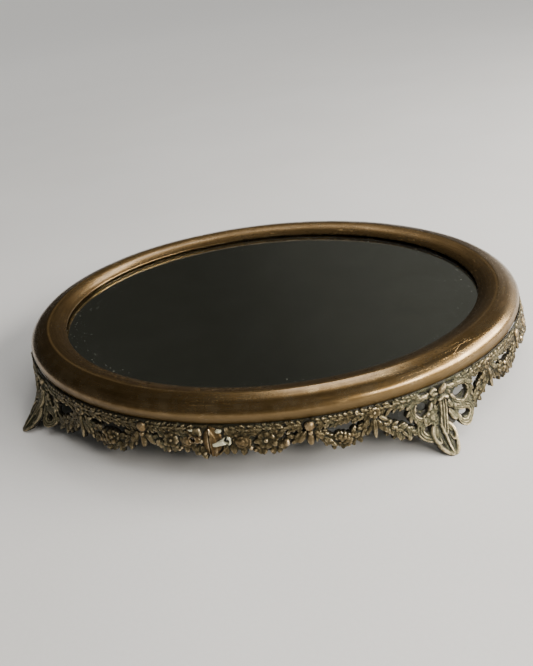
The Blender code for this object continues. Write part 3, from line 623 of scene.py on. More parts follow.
def draw_foot(relief, tip_shift, scale):
    """The bud, the reeded ribbon and the folded leaf of the foot; tip_shift moves the leaf's
    tip along the rim, scale widens the leaf."""
    middle = FOOT_MIDDLE
    for side in (-1, 1):
        for turn, y in ((-4, 3.0), (26, 4.4), (58, 5.6)):
            relief.leaf(middle + side * 2.4, y, 6.0, 3.0, mirrored(side, turn), z=1.0, rise=1.0,
                        rib=0.4, blunt=0.45)
    tip = middle - 1.9 + tip_shift
    ribbon = curve_through([(middle + 1.2, 4.6), (middle + 0.6, 10.0), (middle - 0.4, 16.0),
                            (middle - 1.2 + 0.4 * tip_shift, 21.5),
                            (middle - 1.8 + 0.7 * tip_shift, 26.0)], 24)
    relief.strap(ribbon, half=[2.2, 2.8, 3.0, 2.9, 2.4], z=[1.8, 2.2, 2.5, 2.4, 2.0], strands=3,
                 rise=0.8, depth=0.85, soft=0.05)
    relief.bead(middle + 0.8, 7.4, 3.3, 1.9, z=2.1, rise=1.3)
    relief.strap([(middle - 2.2, 8.0), (middle + 0.8, 7.0), (middle + 3.8, 8.0)], half=0.75,
                 z=3.1, rise=0.6)
    # an oblique bud over the knot, a curled leaf beside it
    relief.bead(middle + 1.4, 2.2, 3.9, 2.2, z=1.4, rise=2.4, tint=0.9, turn=-38)
    curled = curve_through([(middle - 2.6, 4.2), (middle - 5.4, 3.8), (middle - 6.6, 1.6),
                            (middle - 4.6, 0.6), (middle - 2.8, 1.6)], 16)
    relief.strap(curled, half=[0.8, 1.1, 1.2, 0.9, 0.6], z=1.9, rise=0.8)
    # thin body, then a hollow on each side of the keel inside a thick curled lip
    relief.leaf(tip + 0.1, 20.4, 17.4, 14.0 * scale, 91, z=-0.5, rise=1.1, tip=0.62, blunt=0.95,
                rib=0.0, veins=0.0, lift=0.6)
    for side in (-1, 1):
        # the outer lobe turns over on itself, the lower one runs to the tip
        lip = curve_through([(tip + side * 1.4, 21.0), (tip + side * 4.8 * scale, 22.6),
                             (tip + side * 6.9 * scale, 26.2), (tip + side * 6.2 * scale, 29.8),
                             (tip + side * 3.9 * scale, 30.6), (tip + side * 3.4 * scale, 28.0)],
                            26)
        relief.strap(lip, half=[0.5, 0.8, 1.1, 1.1, 0.8, 0.5], z=[1.1, 1.7, 2.3, 2.1, 1.4, 0.8],
                     rise=0.8, soft=0.2)
        low = curve_through([(tip + side * 6.2 * scale, 28.6), (tip + side * 5.6 * scale, 32.2),
                             (tip + side * 3.2 * scale, 35.2), (tip + 0.2, 37.2)], 22)
        relief.strap(low, half=[0.9, 1.1, 1.1, 0.8], z=[1.1, 1.7, 1.6, 1.2], rise=0.8, soft=0.2)
        relief.leaf(tip + side * 1.2, 22.0, 9.4 * scale, 6.4 * scale, mirrored(side, 68), z=0.2,
                    rise=1.3, veins=0.16, rib=0.7, soft=0.2)
        relief.leaf(tip + side * 1.8 * scale, 28.6, 7.6, 4.6 * scale, mirrored(side, 96), z=0.3,
                    rise=1.2, veins=0.14, rib=0.6, soft=0.2)
        # a small lobe turned out near the top of the leaf
        relief.leaf(tip + side * 3.0, 22.4, 6.0 * scale, 3.6, mirrored(side, 62), z=1.2,
                    rise=1.2, veins=0.0, rib=0.5)
    # the keel
    relief.strap([(tip, 22.4), (tip + 0.3, 28.0), (tip, 33.4), (tip + 0.1, 36.6)],
                 half=[1.2, 1.1, 0.8, 0.6], z=[2.1, 2.2, 1.9, 1.3], strands=1, depth=0.5,
                 rise=0.8, soft=0.1)
    # the sole: a flat pad under the leaf's tip
    relief.bead(tip, 36.2, 3.2, 2.0, z=0.9, rise=1.2)


def casting_relief(spec, seed):
    rng = np.random.default_rng(seed)
    marks = spec["marks"]
    relief = Relief(-marks[0][-1] + BUTT, marks[1][-1] - BUTT)
    holes = []
    for side, land, lug, deeper in zip((-1, 1), marks, spec["lugs"], spec["deeper"]):
        half = Half(relief, side, land, deeper, rng)
        half.band()
        half.flowers()
        half.swags()
        half.pendant()
        half.ball()
        holes.append(half.cartouche(lug))
        half.bow()
    draw_foot(relief, spec["tip_shift"], spec["leaf_scale"])
    # fillet along the top edge
    relief.strap([(relief.low - 1, -0.25), (relief.high + 1, -0.25)], half=1.3, z=0.0, rise=0.4,
                 rope=0.12)
    # softened by the sand mould and by wear, then the mould's own grain
    height = relief.height
    solid = height > BACK
    soft = blur(np.maximum(height, BACK), 1)
    height = np.where(solid & (soft > BACK + 0.7), 0.86 * height + 0.14 * soft, height)
    grain = (blur(rng.standard_normal(height.shape), 1) * 0.30
             + blur(rng.standard_normal(height.shape), 3) * 0.62)
    relief.height = np.where(solid, height + grain * (1 - 0.6 * relief.plain), height)
    for x in holes:
        relief.hole(x, JOINT_SCREW_DROP, 1.25)
    # the back is plain; above the rim's lower edge the leaf tips lie outside the rim
    y, x = np.meshgrid(relief.y, relief.x, indexing="ij")
    relief.back = np.interp(y, (TOP, -1.3, 0.0, 0.3), (-0.55, -0.75, -1.0, BACK))
    for inside in (y - TOP, BOTTOM - y, x - relief.low, relief.high - x):
        relief.height = np.minimum(relief.height, relief.back + inside * STEEP * 3)
    return relief


# ====================================================================== height field to a solid
def keep_largest(solid):
    """Only the biggest connected piece of metal stays."""
    label = np.zeros(solid.shape, int)
    best, size, number = 0, 0, 0
    rows, cols = solid.shape
    for start in zip(*np.nonzero(solid)):
        if label[start]:
            continue
        number += 1
        stack, count = [start], 0
        label[start] = number
        while stack:
            i, j = stack.pop()
            count += 1
            for near in ((i + 1, j), (i - 1, j), (i, j + 1), (i, j - 1)):
                if (0 <= near[0] < rows and 0 <= near[1] < cols and solid[near]
                        and not label[near]):
                    label[near] = number
                    stack.append(near)
        if count > size:
            best, size = number, count
    return label == best


# Faces of a grid cell by which corners are solid (a 1, b 2, c 4, d 8). The corners a b c d run
# (i,j) (i,j+1) (i+1,j+1) (i+1,j); the edges between them are ab bc cd da.
CELL_FACES = {
    1: ["a ab da"], 2: ["b bc ab"], 4: ["c cd bc"], 8: ["d da cd"],
    3: ["a b bc da"], 6: ["b c cd ab"], 12: ["c d da bc"], 9: ["d a ab cd"],
    5: ["a ab da", "c cd bc"], 10: ["b bc ab", "d da cd"],
    7: ["a b bc", "a bc cd", "a cd da"], 14: ["b c cd", "b cd da", "b da ab"],
    13: ["c d da", "c da ab", "c ab bc"], 11: ["d a ab", "d ab bc", "d bc cd"],
    15: ["a b c d"],
}
BLOCK = 4                    # cells along the side of one patch of the plain back
ALL, LOW, HIGH = slice(None), slice(None, -1), slice(1, None)
CORNERS = {"a": (LOW, LOW), "b": (LOW, HIGH), "c": (HIGH, HIGH), "d": (HIGH, LOW)}


def patch_fans(merged, back):
    """Triangles of the merged patches: fans that meet every vertex their neighbours use."""
    # start corner, end corner and neighbour of each side of a patch
    sides = (((0, 0), (0, 1), (-1, 0)), ((0, 1), (1, 1), (0, 1)),
             ((1, 1), (1, 0), (1, 0)), ((1, 0), (0, 0), (0, -1)))
    padded = np.pad(merged, 1)
    fans = []
    for i, j in zip(*np.nonzero(merged)):
        row, col = i * BLOCK, j * BLOCK
        ring = []
        for start, end, near in sides:
            fine = not padded[i + 1 + near[0], j + 1 + near[1]]
            for k in range(BLOCK if fine else 1):
                ring.append(back[row + start[0] * BLOCK + (end[0] - start[0]) * k,
                                 col + start[1] * BLOCK + (end[1] - start[1]) * k])
        middle = back[row + BLOCK // 2, col + BLOCK // 2]
        fans.extend((middle, ring[k], ring[(k + 1) % len(ring)]) for k in range(len(ring)))
    return fans


def solid_from_relief(relief):
    """Vertices (x, y, z) of the closed casting, its shading values (cavity, edge, copper,
    plain), and its triangles and quads."""
    height = relief.height
    metal = height - relief.back
    solid = keep_largest(metal > 0)
    metal = np.where(solid, np.maximum(metal, 1e-4), np.minimum(metal, -1e-4))
    rows, cols = metal.shape
    y, x = np.meshgrid(relief.y, relief.x, indexing="ij")
    mask = solid.astype(float)
    high = np.where(solid, height, 0.0)
    cavity, edge = (height - blur(high, reach) / np.maximum(blur(mask, reach), 1e-3)
                    for reach in (5, 2))
    parts = []

    def push(*columns):
        """Adds vertices with their shading values and returns their numbers."""
        table = np.stack(np.broadcast_arrays(*columns), -1)
        first = sum(len(part) for part in parts)
        parts.append(table)
        return np.arange(first, first + len(table))

    front = np.full(metal.shape, -1)
    front[solid] = push(*(grid[solid] for grid in (x, y, height, cavity, edge, relief.tint,
                                                   relief.plain)))
    # blocks of the plain back that can be one patch
    case = sum(solid[cut] * 2 ** bit for bit, cut in enumerate(CORNERS.values()))
    full = case == 15
    block_rows, block_cols = (rows - 1) // BLOCK, (cols - 1) // BLOCK
    end_row, end_col = block_rows * BLOCK, block_cols * BLOCK
    merged = full[:end_row, :end_col].reshape(block_rows, BLOCK, block_cols, BLOCK)
    merged = merged.all(axis=(1, 3)) & (relief.back[:end_row:BLOCK, :end_col:BLOCK] == BACK)
    in_block = np.zeros_like(full)
    in_block[:end_row, :end_col] = np.repeat(np.repeat(merged, BLOCK, 0), BLOCK, 1)
    used = np.zeros(metal.shape, bool)
    for cut in CORNERS.values():
        used[cut] |= (case > 0) & ~in_block
    used &= solid
    i, j = np.nonzero(merged)
    for down, over in ((0, 0), (0, BLOCK), (BLOCK, 0), (BLOCK, BLOCK), (BLOCK // 2, BLOCK // 2)):
        used[i * BLOCK + down, j * BLOCK + over] = True
    back = np.full(metal.shape, -1)
    back[used] = push(x[used], y[used], relief.back[used], -0.2, 0.0, 0.0, 0.0)

    def crossings(first, second):
        """Vertices where the outline crosses the grid edges from first to second."""
        crossed = (metal[first] > 0) != (metal[second] > 0)
        start, end = metal[first][crossed], metal[second][crossed]
        share = np.clip(start / (start - end), 0.08, 0.92)
        ids = np.full(crossed.shape, -1)
        places = (grid[first][crossed] * (1 - share) + grid[second][crossed] * share
                  for grid in (x, y, relief.back))
        ids[crossed] = push(*places, -0.25, 0.0, 0.0, 0.0)
        return ids

    over = crossings((ALL, LOW), (ALL, HIGH))
    down = crossings((LOW, ALL), (HIGH, ALL))
    sides = {"ab": over[LOW], "cd": over[HIGH], "da": down[:, LOW], "bc": down[:, HIGH]}
    tris, quads = [], []
    for number, faces in CELL_FACES.items():
        here = case == number
        for layer, where, order in ((front, here, -1), (back, here & ~in_block, 1)):
            if not where.any():
                continue
            for face in faces:
                ids = [(layer[CORNERS[spot]] if spot in CORNERS else sides[spot])[where]
                       for spot in face.split()]
                ids = np.stack(ids[::order], -1)
                (quads if len(face.split()) == 4 else tris).append(ids)
    fans = patch_fans(merged, back)
    if fans:
        tris.append(np.array(fans))
    table = np.concatenate(parts)
    return table[:, :3], table[:, 3:], np.concatenate(tris), np.concatenate(quads)


def mesh_object(name, verts, tris, quads, material, values, smooth_angle=None):
    """A mesh object in metres from millimetre vertices, with values as point attributes."""
    mesh = bpy.data.meshes.new(name)
    tri_count, quad_count = len(tris), len(quads)
    loops = np.concatenate([np.asarray(tris, np.int32).ravel(),
                            np.asarray(quads, np.int32).ravel()])
    mesh.vertices.add(len(verts))
    mesh.vertices.foreach_set("co", (np.asarray(verts, np.float32) * MM).ravel())
    mesh.loops.add(len(loops))
    mesh.loops.foreach_set("vertex_index", loops)
    start = np.concatenate([np.arange(tri_count) * 3, tri_count * 3 + np.arange(quad_count) * 4])
    size = np.concatenate([np.full(tri_count, 3), np.full(quad_count, 4)])
    mesh.polygons.add(tri_count + quad_count)
    mesh.polygons.foreach_set("loop_start", start.astype(np.int32))
    mesh.polygons.foreach_set("loop_total", size.astype(np.int32))
    for key, data in values.items():
        attribute = mesh.attributes.new(key, "FLOAT", "POINT")
        attribute.data.foreach_set("value", np.asarray(data, np.float32))
    mesh.update(calc_edges=True)
    mesh.validate()
    mesh.shade_smooth()
    if smooth_angle:
        mesh.set_sharp_from_angle(angle=math.radians(smooth_angle))
    mesh.materials.append(material)
    return link_object(name, mesh)


def link_object(name, data):
    obj = bpy.data.objects.new(name, data)
    bpy.context.scene.collection.objects.link(obj)
    return obj


def make_casting(end, side, seed, material):
    """One gallery, at the front or back end and on the left or right side."""
    spec = SIDES[side]
    # arc length runs toward the right at the front and toward the left at the back
    if end == "front":
        foot, direction = 3 * QUARTER + spec["foot"], 1
    else:
        foot, direction = QUARTER - spec["foot"], -1
    flat, shading, tris, quads = solid_from_relief(casting_relief(spec, seed))
    along, drop, height = flat.T
    point, normal = OVAL.frame(foot + direction * along)
    out = lean(along, drop, spec["flare"]) + height
    verts = np.stack([point[:, 0] + normal[:, 0] * out, point[:, 1] + normal[:, 1] * out,
                      np.maximum(RIM_Z - drop, 0.0)], -1)
    if direction > 0:
        tris, quads = tris[:, ::-1], quads[:, ::-1]
    values = dict(zip(("cavity", "edge", "copper", "plain"), shading.T), along=along, drop=drop)
    obj = mesh_object(f"cast_gallery_{end}_{side}", verts, tris, quads, material, values)
    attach(obj, "root")
    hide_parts(f"gallery_{end}_{side}")


# ====================================================================== rim
# the plain underside of the section: (inset from the outer edge, height above the lower edge)
RIM_INNER = [(27.3, 8.4), (25.8, 8.5), (24.0, 10.2), (21.0, 11.9), (17.6, 13.0), (13.8, 13.7),
             (9.2, 12.8), (5.4, 11.6), (2.4, 9.4), (1.15, 7.2), (1.05, 5.2), (1.6, 2.4),
             (1.95, 0.0)]
RIM_AROUND = 640
# slow waviness of a hand-finished moulding: (height, waves round the rim, phase)
WAVE_OUT = ((0.10, 3, 0.4), (0.07, 7, 2.0), (0.05, 13, 0.0), (0.035, 29, 1.0))
WAVE_UP = ((0.07, 5, 1.2), (0.05, 11, 0.3), (0.03, 23, 0.0))


def hermite(points, slopes, steps):
    """Pieces through the points with the given slopes dy/dx, without the first point."""
    out = []
    for (x0, y0), (x1, y1), slope0, slope1, count in zip(points, points[1:], slopes, slopes[1:],
                                                         steps):
        for t in np.linspace(0, 1, count + 1)[1:]:
            out.append((x0 + (x1 - x0) * t,
                        (2 * t ** 3 - 3 * t ** 2 + 1) * y0
                        + (t ** 3 - 2 * t ** 2 + t) * (x1 - x0) * slope0
                        + (-2 * t ** 3 + 3 * t ** 2) * y1
                        + (t ** 3 - t ** 2) * (x1 - x0) * slope1))
    return out


def rim_skin():
    """Outer skin of the moulding: (inset, height above the lower edge)."""
    points = []
    # the foot of the face
    for z in (0.0, 0.35, 0.8, 1.4, 2.0, 2.7, 3.4, 4.1):
        below = 4.85 - z
        points.append((-0.19 + 0.192 * below + 0.0174 * below * below, z))
    # the round of the face
    round_x, round_z, round_end = 7.2, 6.6, 50
    for degrees in np.linspace(-10, round_end, 27):
        angle = math.radians(degrees)
        points.append((6.9 - round_x * math.cos(angle), 6.0 + round_z * math.sin(angle)))
    # up to the crest
    slope = round_z / (round_x * math.tan(math.radians(round_end)))
    points += hermite([points[-1], (4.9, 12.75), (9.0, 14.02), (13.5, 14.93), (14.6, 14.90)],
                      [slope, 0.46, 0.22, 0.165, -0.14], [7, 8, 8, 5])
    # past the crest a long convex slope to the sight edge
    for t in np.linspace(0.075, 0.97, 30):
        fall = 0.42 * t + 0.58 * t ** 2.4
        points.append((14.0 + 14.0 * t, 15.0 - 5.3 * fall))
    # rounded sight edge
    for degrees in np.linspace(40, -80, 8):
        angle = math.radians(degrees)
        points.append((27.45 + 0.55 * math.cos(angle), 9.38 + 0.5 * math.sin(angle)))
    return points


def make_rim(material):
    skin = np.array(rim_skin())
    loop = np.concatenate([skin, RIM_INNER])
    run = path_run(skin)
    # share of the way across the skin, -0.5 on the underside
    prof = np.concatenate([run / run[-1], np.full(len(RIM_INNER), -0.5)])
    count = len(loop)
    point, normal = OVAL.frame(OVAL.length * np.arange(RIM_AROUND) / RIM_AROUND)
    angle = 2 * np.pi * np.arange(RIM_AROUND) / RIM_AROUND

    def ripple(waves):
        return sum(height * np.sin(number * angle + phase) for height, number, phase in waves)

    # the waviness fades out at both edges of the skin
    fade = np.zeros(count)
    fade[:len(skin)] = np.clip(np.sin(np.pi * np.linspace(0, 1, len(skin))), 0, 1) ** 0.5
    out = -loop[None, :, 0] + ripple(WAVE_OUT)[:, None] * fade[None]
    z = RIM_Z + loop[None, :, 1] + ripple(WAVE_UP)[:, None] * fade[None]
    verts = np.stack([point[:, None, 0] + normal[:, None, 0] * out,
                      point[:, None, 1] + normal[:, None, 1] * out, z], -1).reshape(-1, 3)
    i, j = np.meshgrid(np.arange(RIM_AROUND), np.arange(count), indexing="ij")
    next_i, next_j = (i + 1) % RIM_AROUND, (j + 1) % count
    quads = np.stack([i * count + j, next_i * count + j, next_i * count + next_j,
                      i * count + next_j], -1).reshape(-1, 4)
    obj = mesh_object("rolled_rim", verts, np.zeros((0, 3), int), quads, material,
                      {"prof": np.tile(prof, RIM_AROUND)}, smooth_angle=50)
    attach(obj, "root")
    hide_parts("rim_frame")


# ====================================================================== node graphs
class Signal:
    """An output socket that can be worked with like a number."""

    def __init__(self, graph, socket):
        self.graph, self.socket = graph, socket

    def __add__(self, other):
        return self.graph.math("ADD", self, other)

    def __radd__(self, other):
        return self.graph.math("ADD", other, self)

    def __sub__(self, other):
        return self.graph.math("SUBTRACT", self, other)

    def __rsub__(self, other):
        return self.graph.math("SUBTRACT", other, self)

    def __mul__(self, other):
        return self.graph.math("MULTIPLY", self, other)

    def __truediv__(self, other):
        return self.graph.math("DIVIDE", self, other)

    def __abs__(self):
        return self.graph.math("ABSOLUTE", self)

    def sqrt(self):
        return self.graph.math("SQRT", self)

    def max(self, other):
        return self.graph.math("MAXIMUM", self, other)

    def min(self, other):
        return self.graph.math("MINIMUM", self, other)

    def step(self, start, end, low=0.0, high=1.0):
        """Goes smoothly from low at start to high at end."""
        return self.graph.node("MapRange", {"Value": self, "From Min": start, "From Max": end,
                                            "To Min": low, "To Max": high},
                               out="Result", interpolation_type="SMOOTHSTEP")


class Graph:
    """Short hand for building a node tree."""

    def __init__(self, tree, output):
        self.tree = tree
        tree.nodes.clear()
        self.out = tree.nodes.new(output)

    def put(self, socket, value):
        if isinstance(value, Signal):
            self.tree.links.new(value.socket, socket)
        elif isinstance(value, tuple) and len(value) == 3 and socket.type == "RGBA":
            socket.default_value = (*value, 1.0)
        else:
            socket.default_value = value

    def node(self, kind, inputs, out=0, **settings):
        node = self.tree.nodes.new("ShaderNode" + kind)
        for key, value in settings.items():
            setattr(node, key, value)
        for key, value in inputs.items():
            self.put(node.inputs[key], value)
        return Signal(self, node.outputs[out])

    def math(self, operation, first, second=0.0):
        return self.node("Math", {0: first, 1: second}, operation=operation)

    def mix(self, amount, first, second):
        """The first colour, turned into the second by amount."""
        return self.node("Mix", {"Factor": amount, 6: first, 7: second}, out=2,
                         data_type="RGBA")


class Paint(Graph):
    """A procedural surface material. Places are measured in millimetres."""

    def __init__(self, name):
        self.mat = bpy.data.materials.new(name)
        self.mat.use_nodes = True
        super().__init__(self.mat.node_tree, "ShaderNodeOutputMaterial")
        self.shader = self.tree.nodes.new("ShaderNodeBsdfPrincipled")
        self.surface = Signal(self, self.shader.outputs[0])
        self.put(self.out.inputs[0], self.surface)
        self.place = self.node("VectorMath", {0: self.node("TexCoord", {}, out="Object"),
                                              "Scale": 1 / MM}, operation="SCALE")

    def noise(self, scale, detail, rough, vector=None, offset=None, distortion=0.0):
        vector = vector or self.place
        if offset is not None:
            vector = self.node("VectorMath", {0: vector, 1: offset}, operation="ADD")
        return self.node("TexNoise", {"Vector": vector, "Scale": scale, "Detail": detail,
                                      "Roughness": rough, "Distortion": distortion}, out="Fac")

    def cells(self, scale, vector=None, feature="F1"):
        return self.node("TexVoronoi", {"Vector": vector or self.place, "Scale": scale},
                         out="Distance", feature=feature)

    def ramp(self, value, *stops):
        """Colours by value; each stop is (position, colour)."""
        node = self.tree.nodes.new("ShaderNodeValToRGB")
        self.put(node.inputs[0], value)
        elements = node.color_ramp.elements
        while len(elements) < len(stops):
            elements.new(0.5)
        for element, (position, colour) in zip(elements, stops):
            element.position = position
            element.color = (*colour, 1.0)
        return Signal(self, node.outputs["Color"])

    def attribute(self, name):
        return self.node("Attribute", {}, out="Fac", attribute_name=name)

    def stretch(self, x, y, z):
        return self.node("Mapping", {"Vector": self.place, "Scale": (x, y, z)})

    def xyz(self):
        node = self.tree.nodes.new("ShaderNodeSeparateXYZ")
        self.put(node.inputs[0], self.place)
        return [Signal(self, socket) for socket in node.outputs]

    def vector(self, x, y, z):
        return self.node("CombineXYZ", {0: x, 1: y, 2: z})

    def set(self, **inputs):
        names = {"colour": "Base Color", "rough": "Roughness", "metal": "Metallic",
                 "spec": "Specular IOR Level", "sheen": "Sheen Weight", "coat": "Coat Weight",
                 "coat_rough": "Coat Roughness"}
        for key, value in inputs.items():
            self.put(self.shader.inputs[names[key]], value)

    def bump(self, height, depth, below=None):
        """Relief of the given depth in millimetres, over an earlier bump if there is one."""
        inputs = {"Strength": 1.0, "Distance": depth * MM, "Height": height}
        if below is not None:
            inputs["Normal"] = below
        normal = self.node("Bump", inputs)
        self.put(self.shader.inputs["Normal"], normal)
        return normal


# ====================================================================== materials
def rim_material():
    p = Paint("rim_brass")
    prof = p.attribute("prof")
    x, y, _ = p.xyz()

    def drawn(around, across):
        """Places with one scale round the rim and another across the section."""
        return p.vector(x * around, y * around, prof * across)

    # drawn and rubbed along the rim: faint streaks run round, fast across the section
    streak = p.noise(scale=2.0, detail=5.0, rough=0.6, vector=drawn(around=0.016, across=15.0))
    hair = p.noise(scale=2.2, detail=3.0, rough=0.6, vector=drawn(around=0.09, across=110.0))
    cloud = p.noise(scale=0.020, detail=5.0, rough=0.6, distortion=0.6)
    blotch = p.noise(scale=0.085, detail=6.0, rough=0.66, offset=(31.0, 7.0, 3.0))
    speck = p.noise(scale=1.1, detail=4.0, rough=0.7, offset=(3.0, 90.0, 3.0))
    tone = streak * 0.30 + (cloud * 0.36 + blotch * 0.34)
    colour = p.ramp(tone, (0.36, (0.115, 0.062, 0.023)), (0.48, (0.205, 0.120, 0.050)),
                    (0.58, (0.285, 0.178, 0.081)), (0.72, (0.41, 0.275, 0.136)))
    # rubbed brighter where hands lift it
    face = prof.step(0.10, 0.22) * prof.step(0.60, 0.46)
    sight = prof.step(0.955, 0.985)
    rub = face.max(sight) * blotch.step(0.44, 0.66)
    colour = p.mix(rub * 0.28, colour, (0.56, 0.40, 0.22))
    # the inner slope has kept more of its brown
    slope = prof.step(0.622, 0.642)
    brown = p.mix(streak.step(0.4, 0.6), (0.19, 0.105, 0.042), (0.31, 0.185, 0.080))
    colour = p.mix(slope * 0.40, colour, brown)
    # painted shade where the face tucks under, a trace of it along the crest
    curl = prof.step(0.27, 0.12)
    under = prof.step(0.075, 0.015).max(curl * 0.84)
    crest = prof.step(0.605, 0.622) * prof.step(0.66, 0.636)
    painted_shade = (crest * 0.30).max(under) * blotch.step(0.20, 0.45)
    colour = p.mix(painted_shade * 0.92, colour, (0.050, 0.028, 0.012))
    # irregular darker tarnish, long in the direction of rubbing
    tarnish = p.noise(scale=1.0, detail=5.0, rough=0.62,
                      vector=drawn(around=0.030, across=11.0)).step(0.56, 0.70)
    colour = p.mix(tarnish * 0.55, colour, (0.125, 0.068, 0.026))
    spots = p.cells(scale=0.16).step(0.15, 0.05) * speck.step(0.50, 0.62)
    colour = p.mix(spots * 0.6, colour, (0.070, 0.038, 0.016))
    # a few pale green bloom marks
    bloom = p.noise(scale=0.034, detail=3.0, rough=0.5, offset=(60.0, 11.0, 0.0))
    bloom = bloom.step(0.70, 0.77) * speck.step(0.42, 0.60)
    colour = p.mix(bloom * 0.32, colour, (0.30, 0.30, 0.19))
    # hairline scratches, pale
    scratch = p.cells(scale=0.055, vector=drawn(around=0.5, across=240.0),
                      feature="DISTANCE_TO_EDGE")
    scratch = scratch.step(0.010, 0.002) * cloud.step(0.44, 0.62)
    colour = p.mix(scratch * 0.30, colour, (0.70, 0.55, 0.36))
    # an even olive cast over everything
    colour = p.mix(0.22, colour, (0.250, 0.165, 0.030))
    dull = spots.max(bloom).max(tarnish * 0.5)
    rough = tone.step(0.40, 0.70, low=0.25, high=0.18) + (hair * 0.10 + dull * 0.22)
    rough = rough - rub * 0.05 + curl * 0.16
    p.set(colour=colour, rough=rough, coat=0.55 - curl * 0.53, coat_rough=0.13 + blotch * 0.12,
          metal=0.96 - bloom.max(painted_shade) * 0.55)
    drawing = p.bump(streak * 0.4 + hair * 0.5, depth=0.018)
    uneven = p.bump(blotch + speck * 0.06, depth=0.045, below=drawing)
    p.bump(1.0 - scratch.max(spots), depth=0.035, below=uneven)
    return p.mat


def cast_material():
    p = Paint("cast_brass")
    cavity, edge = p.attribute("cavity"), p.attribute("edge")
    copper, plain = p.attribute("copper"), p.attribute("plain")
    broad = p.noise(scale=0.055, detail=4.0, rough=0.6)
    patch = p.noise(scale=0.32, detail=6.0, rough=0.65, offset=(9.0, 4.0, 2.0))
    fine = p.noise(scale=1.7, detail=5.0, rough=0.7, offset=(1.0, 44.0, 2.0))
    pit = p.cells(scale=0.9)
    # dark in the hollows, pale on the heights
    level = cavity + (patch - 0.5) * 0.8
    colour = p.ramp(level.step(-0.9, 1.2), (0.08, (0.010, 0.008, 0.004)),
                    (0.36, (0.042, 0.032, 0.015)), (0.56, (0.105, 0.083, 0.042)),
                    (0.78, (0.215, 0.172, 0.095)), (0.96, (0.40, 0.325, 0.20)))
    # copper shows where the balls and fruit are handled
    pink = (copper * 0.95 + broad.step(0.56, 0.70, high=0.4)) * level.step(-0.2, 0.6)
    colour = p.mix(pink.min(0.50), colour, (0.24, 0.145, 0.065))
    # smooth bronze of the cartouches
    bronze = plain.step(0.30, 0.55) * plain.step(0.90, 0.70)
    colour = p.mix(bronze * 0.8, colour,
                   p.ramp(patch, (0.35, (0.060, 0.036, 0.014)), (0.55, (0.150, 0.092, 0.038)),
                          (0.72, (0.28, 0.185, 0.086))))
    # grey-green bloom in the hollows, round the foot and here and there over the leaves
    hollow = level.step(0.10, -0.70)
    near_foot = abs(p.attribute("along")).step(40.0, 20.0, high=0.75)
    bloom = (hollow * 0.55).max(near_foot).max(broad.step(0.55, 0.68, high=0.85))
    bloom = bloom * fine.step(0.40, 0.60) * (1.0 - plain.step(0.3, 0.6, high=0.75))
    colour = p.mix(bloom * 0.60, colour,
                   p.ramp(fine + cavity * 0.07, (0.40, (0.055, 0.066, 0.036)),
                          (0.70, (0.205, 0.225, 0.130))))
    # worn edges
    worn = edge.step(0.12, 0.42) * patch.step(0.36, 0.60)
    colour = p.mix(worn * 0.72, colour, (0.64, 0.51, 0.315))
    # whitish tin on the soldered lugs
    tin = plain.step(0.88, 0.97)
    colour = p.mix(tin * 0.9, colour,
                   p.ramp(fine, (0.35, (0.46, 0.44, 0.29)), (0.65, (0.74, 0.72, 0.53))))
    dirt = cavity.step(-0.20, -0.85) * 0.9
    colour = p.mix(dirt, colour, (0.018, 0.014, 0.008))
    p.set(colour=colour, metal=0.94 - bloom.max(dirt).max(tin) * 0.65,
          rough=worn.step(0.0, 1.0, low=0.40, high=0.25) + (bloom * 0.30 + (fine - 0.5) * 0.3))
    grain = p.bump(fine * 0.8 + patch * 0.6, depth=0.20)
    p.bump(pit.step(0.10, 0.34), depth=0.05, below=grain)
    return p.mat


def sheet_brass_material():
    p = Paint("bracket_brass")
    mottle = p.noise(scale=0.16, detail=6.0, rough=0.65)
    fine = p.noise(scale=1.6, detail=4.0, rough=0.6, vector=p.stretch(1.0, 1.0, 5.0))
    colour = p.ramp(mottle, (0.34, (0.130, 0.085, 0.040)), (0.52, (0.33, 0.235, 0.115)),
                    (0.70, (0.47, 0.36, 0.19)))
    spots = p.cells(scale=0.5).step(0.25, 0.08) * fine.step(0.42, 0.6)
    colour = p.mix(spots * 0.6, colour, (0.08, 0.05, 0.025))
    p.set(colour=colour, metal=0.95, rough=0.36 + mottle * 0.3)
    p.bump(fine + mottle, depth=0.06)
    return p.mat


def screw_material():
    p = Paint("steel_screw")
    mottle = p.noise(scale=0.55, detail=5.0, rough=0.65)
    fine = p.noise(scale=5.0, detail=3.0, rough=0.6)
    colour = p.ramp(mottle, (0.34, (0.085, 0.060, 0.045)), (0.5, (0.27, 0.26, 0.25)),
                    (0.70, (0.48, 0.48, 0.47)))
    rust = fine.step(0.54, 0.66) * mottle.step(0.58, 0.42)
    colour = p.mix(rust, colour, (0.20, 0.085, 0.035))
    p.set(colour=colour, metal=0.95 - rust * 0.7, rough=0.30 + fine * 0.3)
    p.bump(fine + mottle, depth=0.05)
    return p.mat


def wood_material():
    """Plywood with its grain along x, gently bent."""
    p = Paint("plywood")
    bent = p.noise(scale=0.012, detail=3.0, rough=0.5)
    x, y, z = p.xyz()
    bent_y = y + bent * 46.0
    grain = p.noise(scale=1.0, detail=6.0, rough=0.66,
                    vector=p.vector(x * 0.012, bent_y * 0.42, z))
    pores = p.noise(scale=1.0, detail=3.0, rough=0.6,
                    vector=p.vector(x * 0.10, bent_y * 3.4, z))
    colour = p.ramp(grain, (0.32, (0.165, 0.095, 0.046)), (0.50, (0.33, 0.215, 0.118)),
                    (0.70, (0.47, 0.335, 0.20)))
    colour = p.mix(pores.step(0.56, 0.68) * 0.6, colour, (0.10, 0.055, 0.028))
    stain = p.noise(scale=0.02, detail=4.0, rough=0.6, offset=(5.0, 70.0, 0.0)).step(0.52, 0.70)
    colour = p.mix(stain * 0.45, colour, (0.12, 0.075, 0.04))
    p.set(colour=colour, rough=0.62 + pores * 0.25, spec=0.3)
    p.bump(grain + pores * 0.7, depth=0.16)
    return p.mat


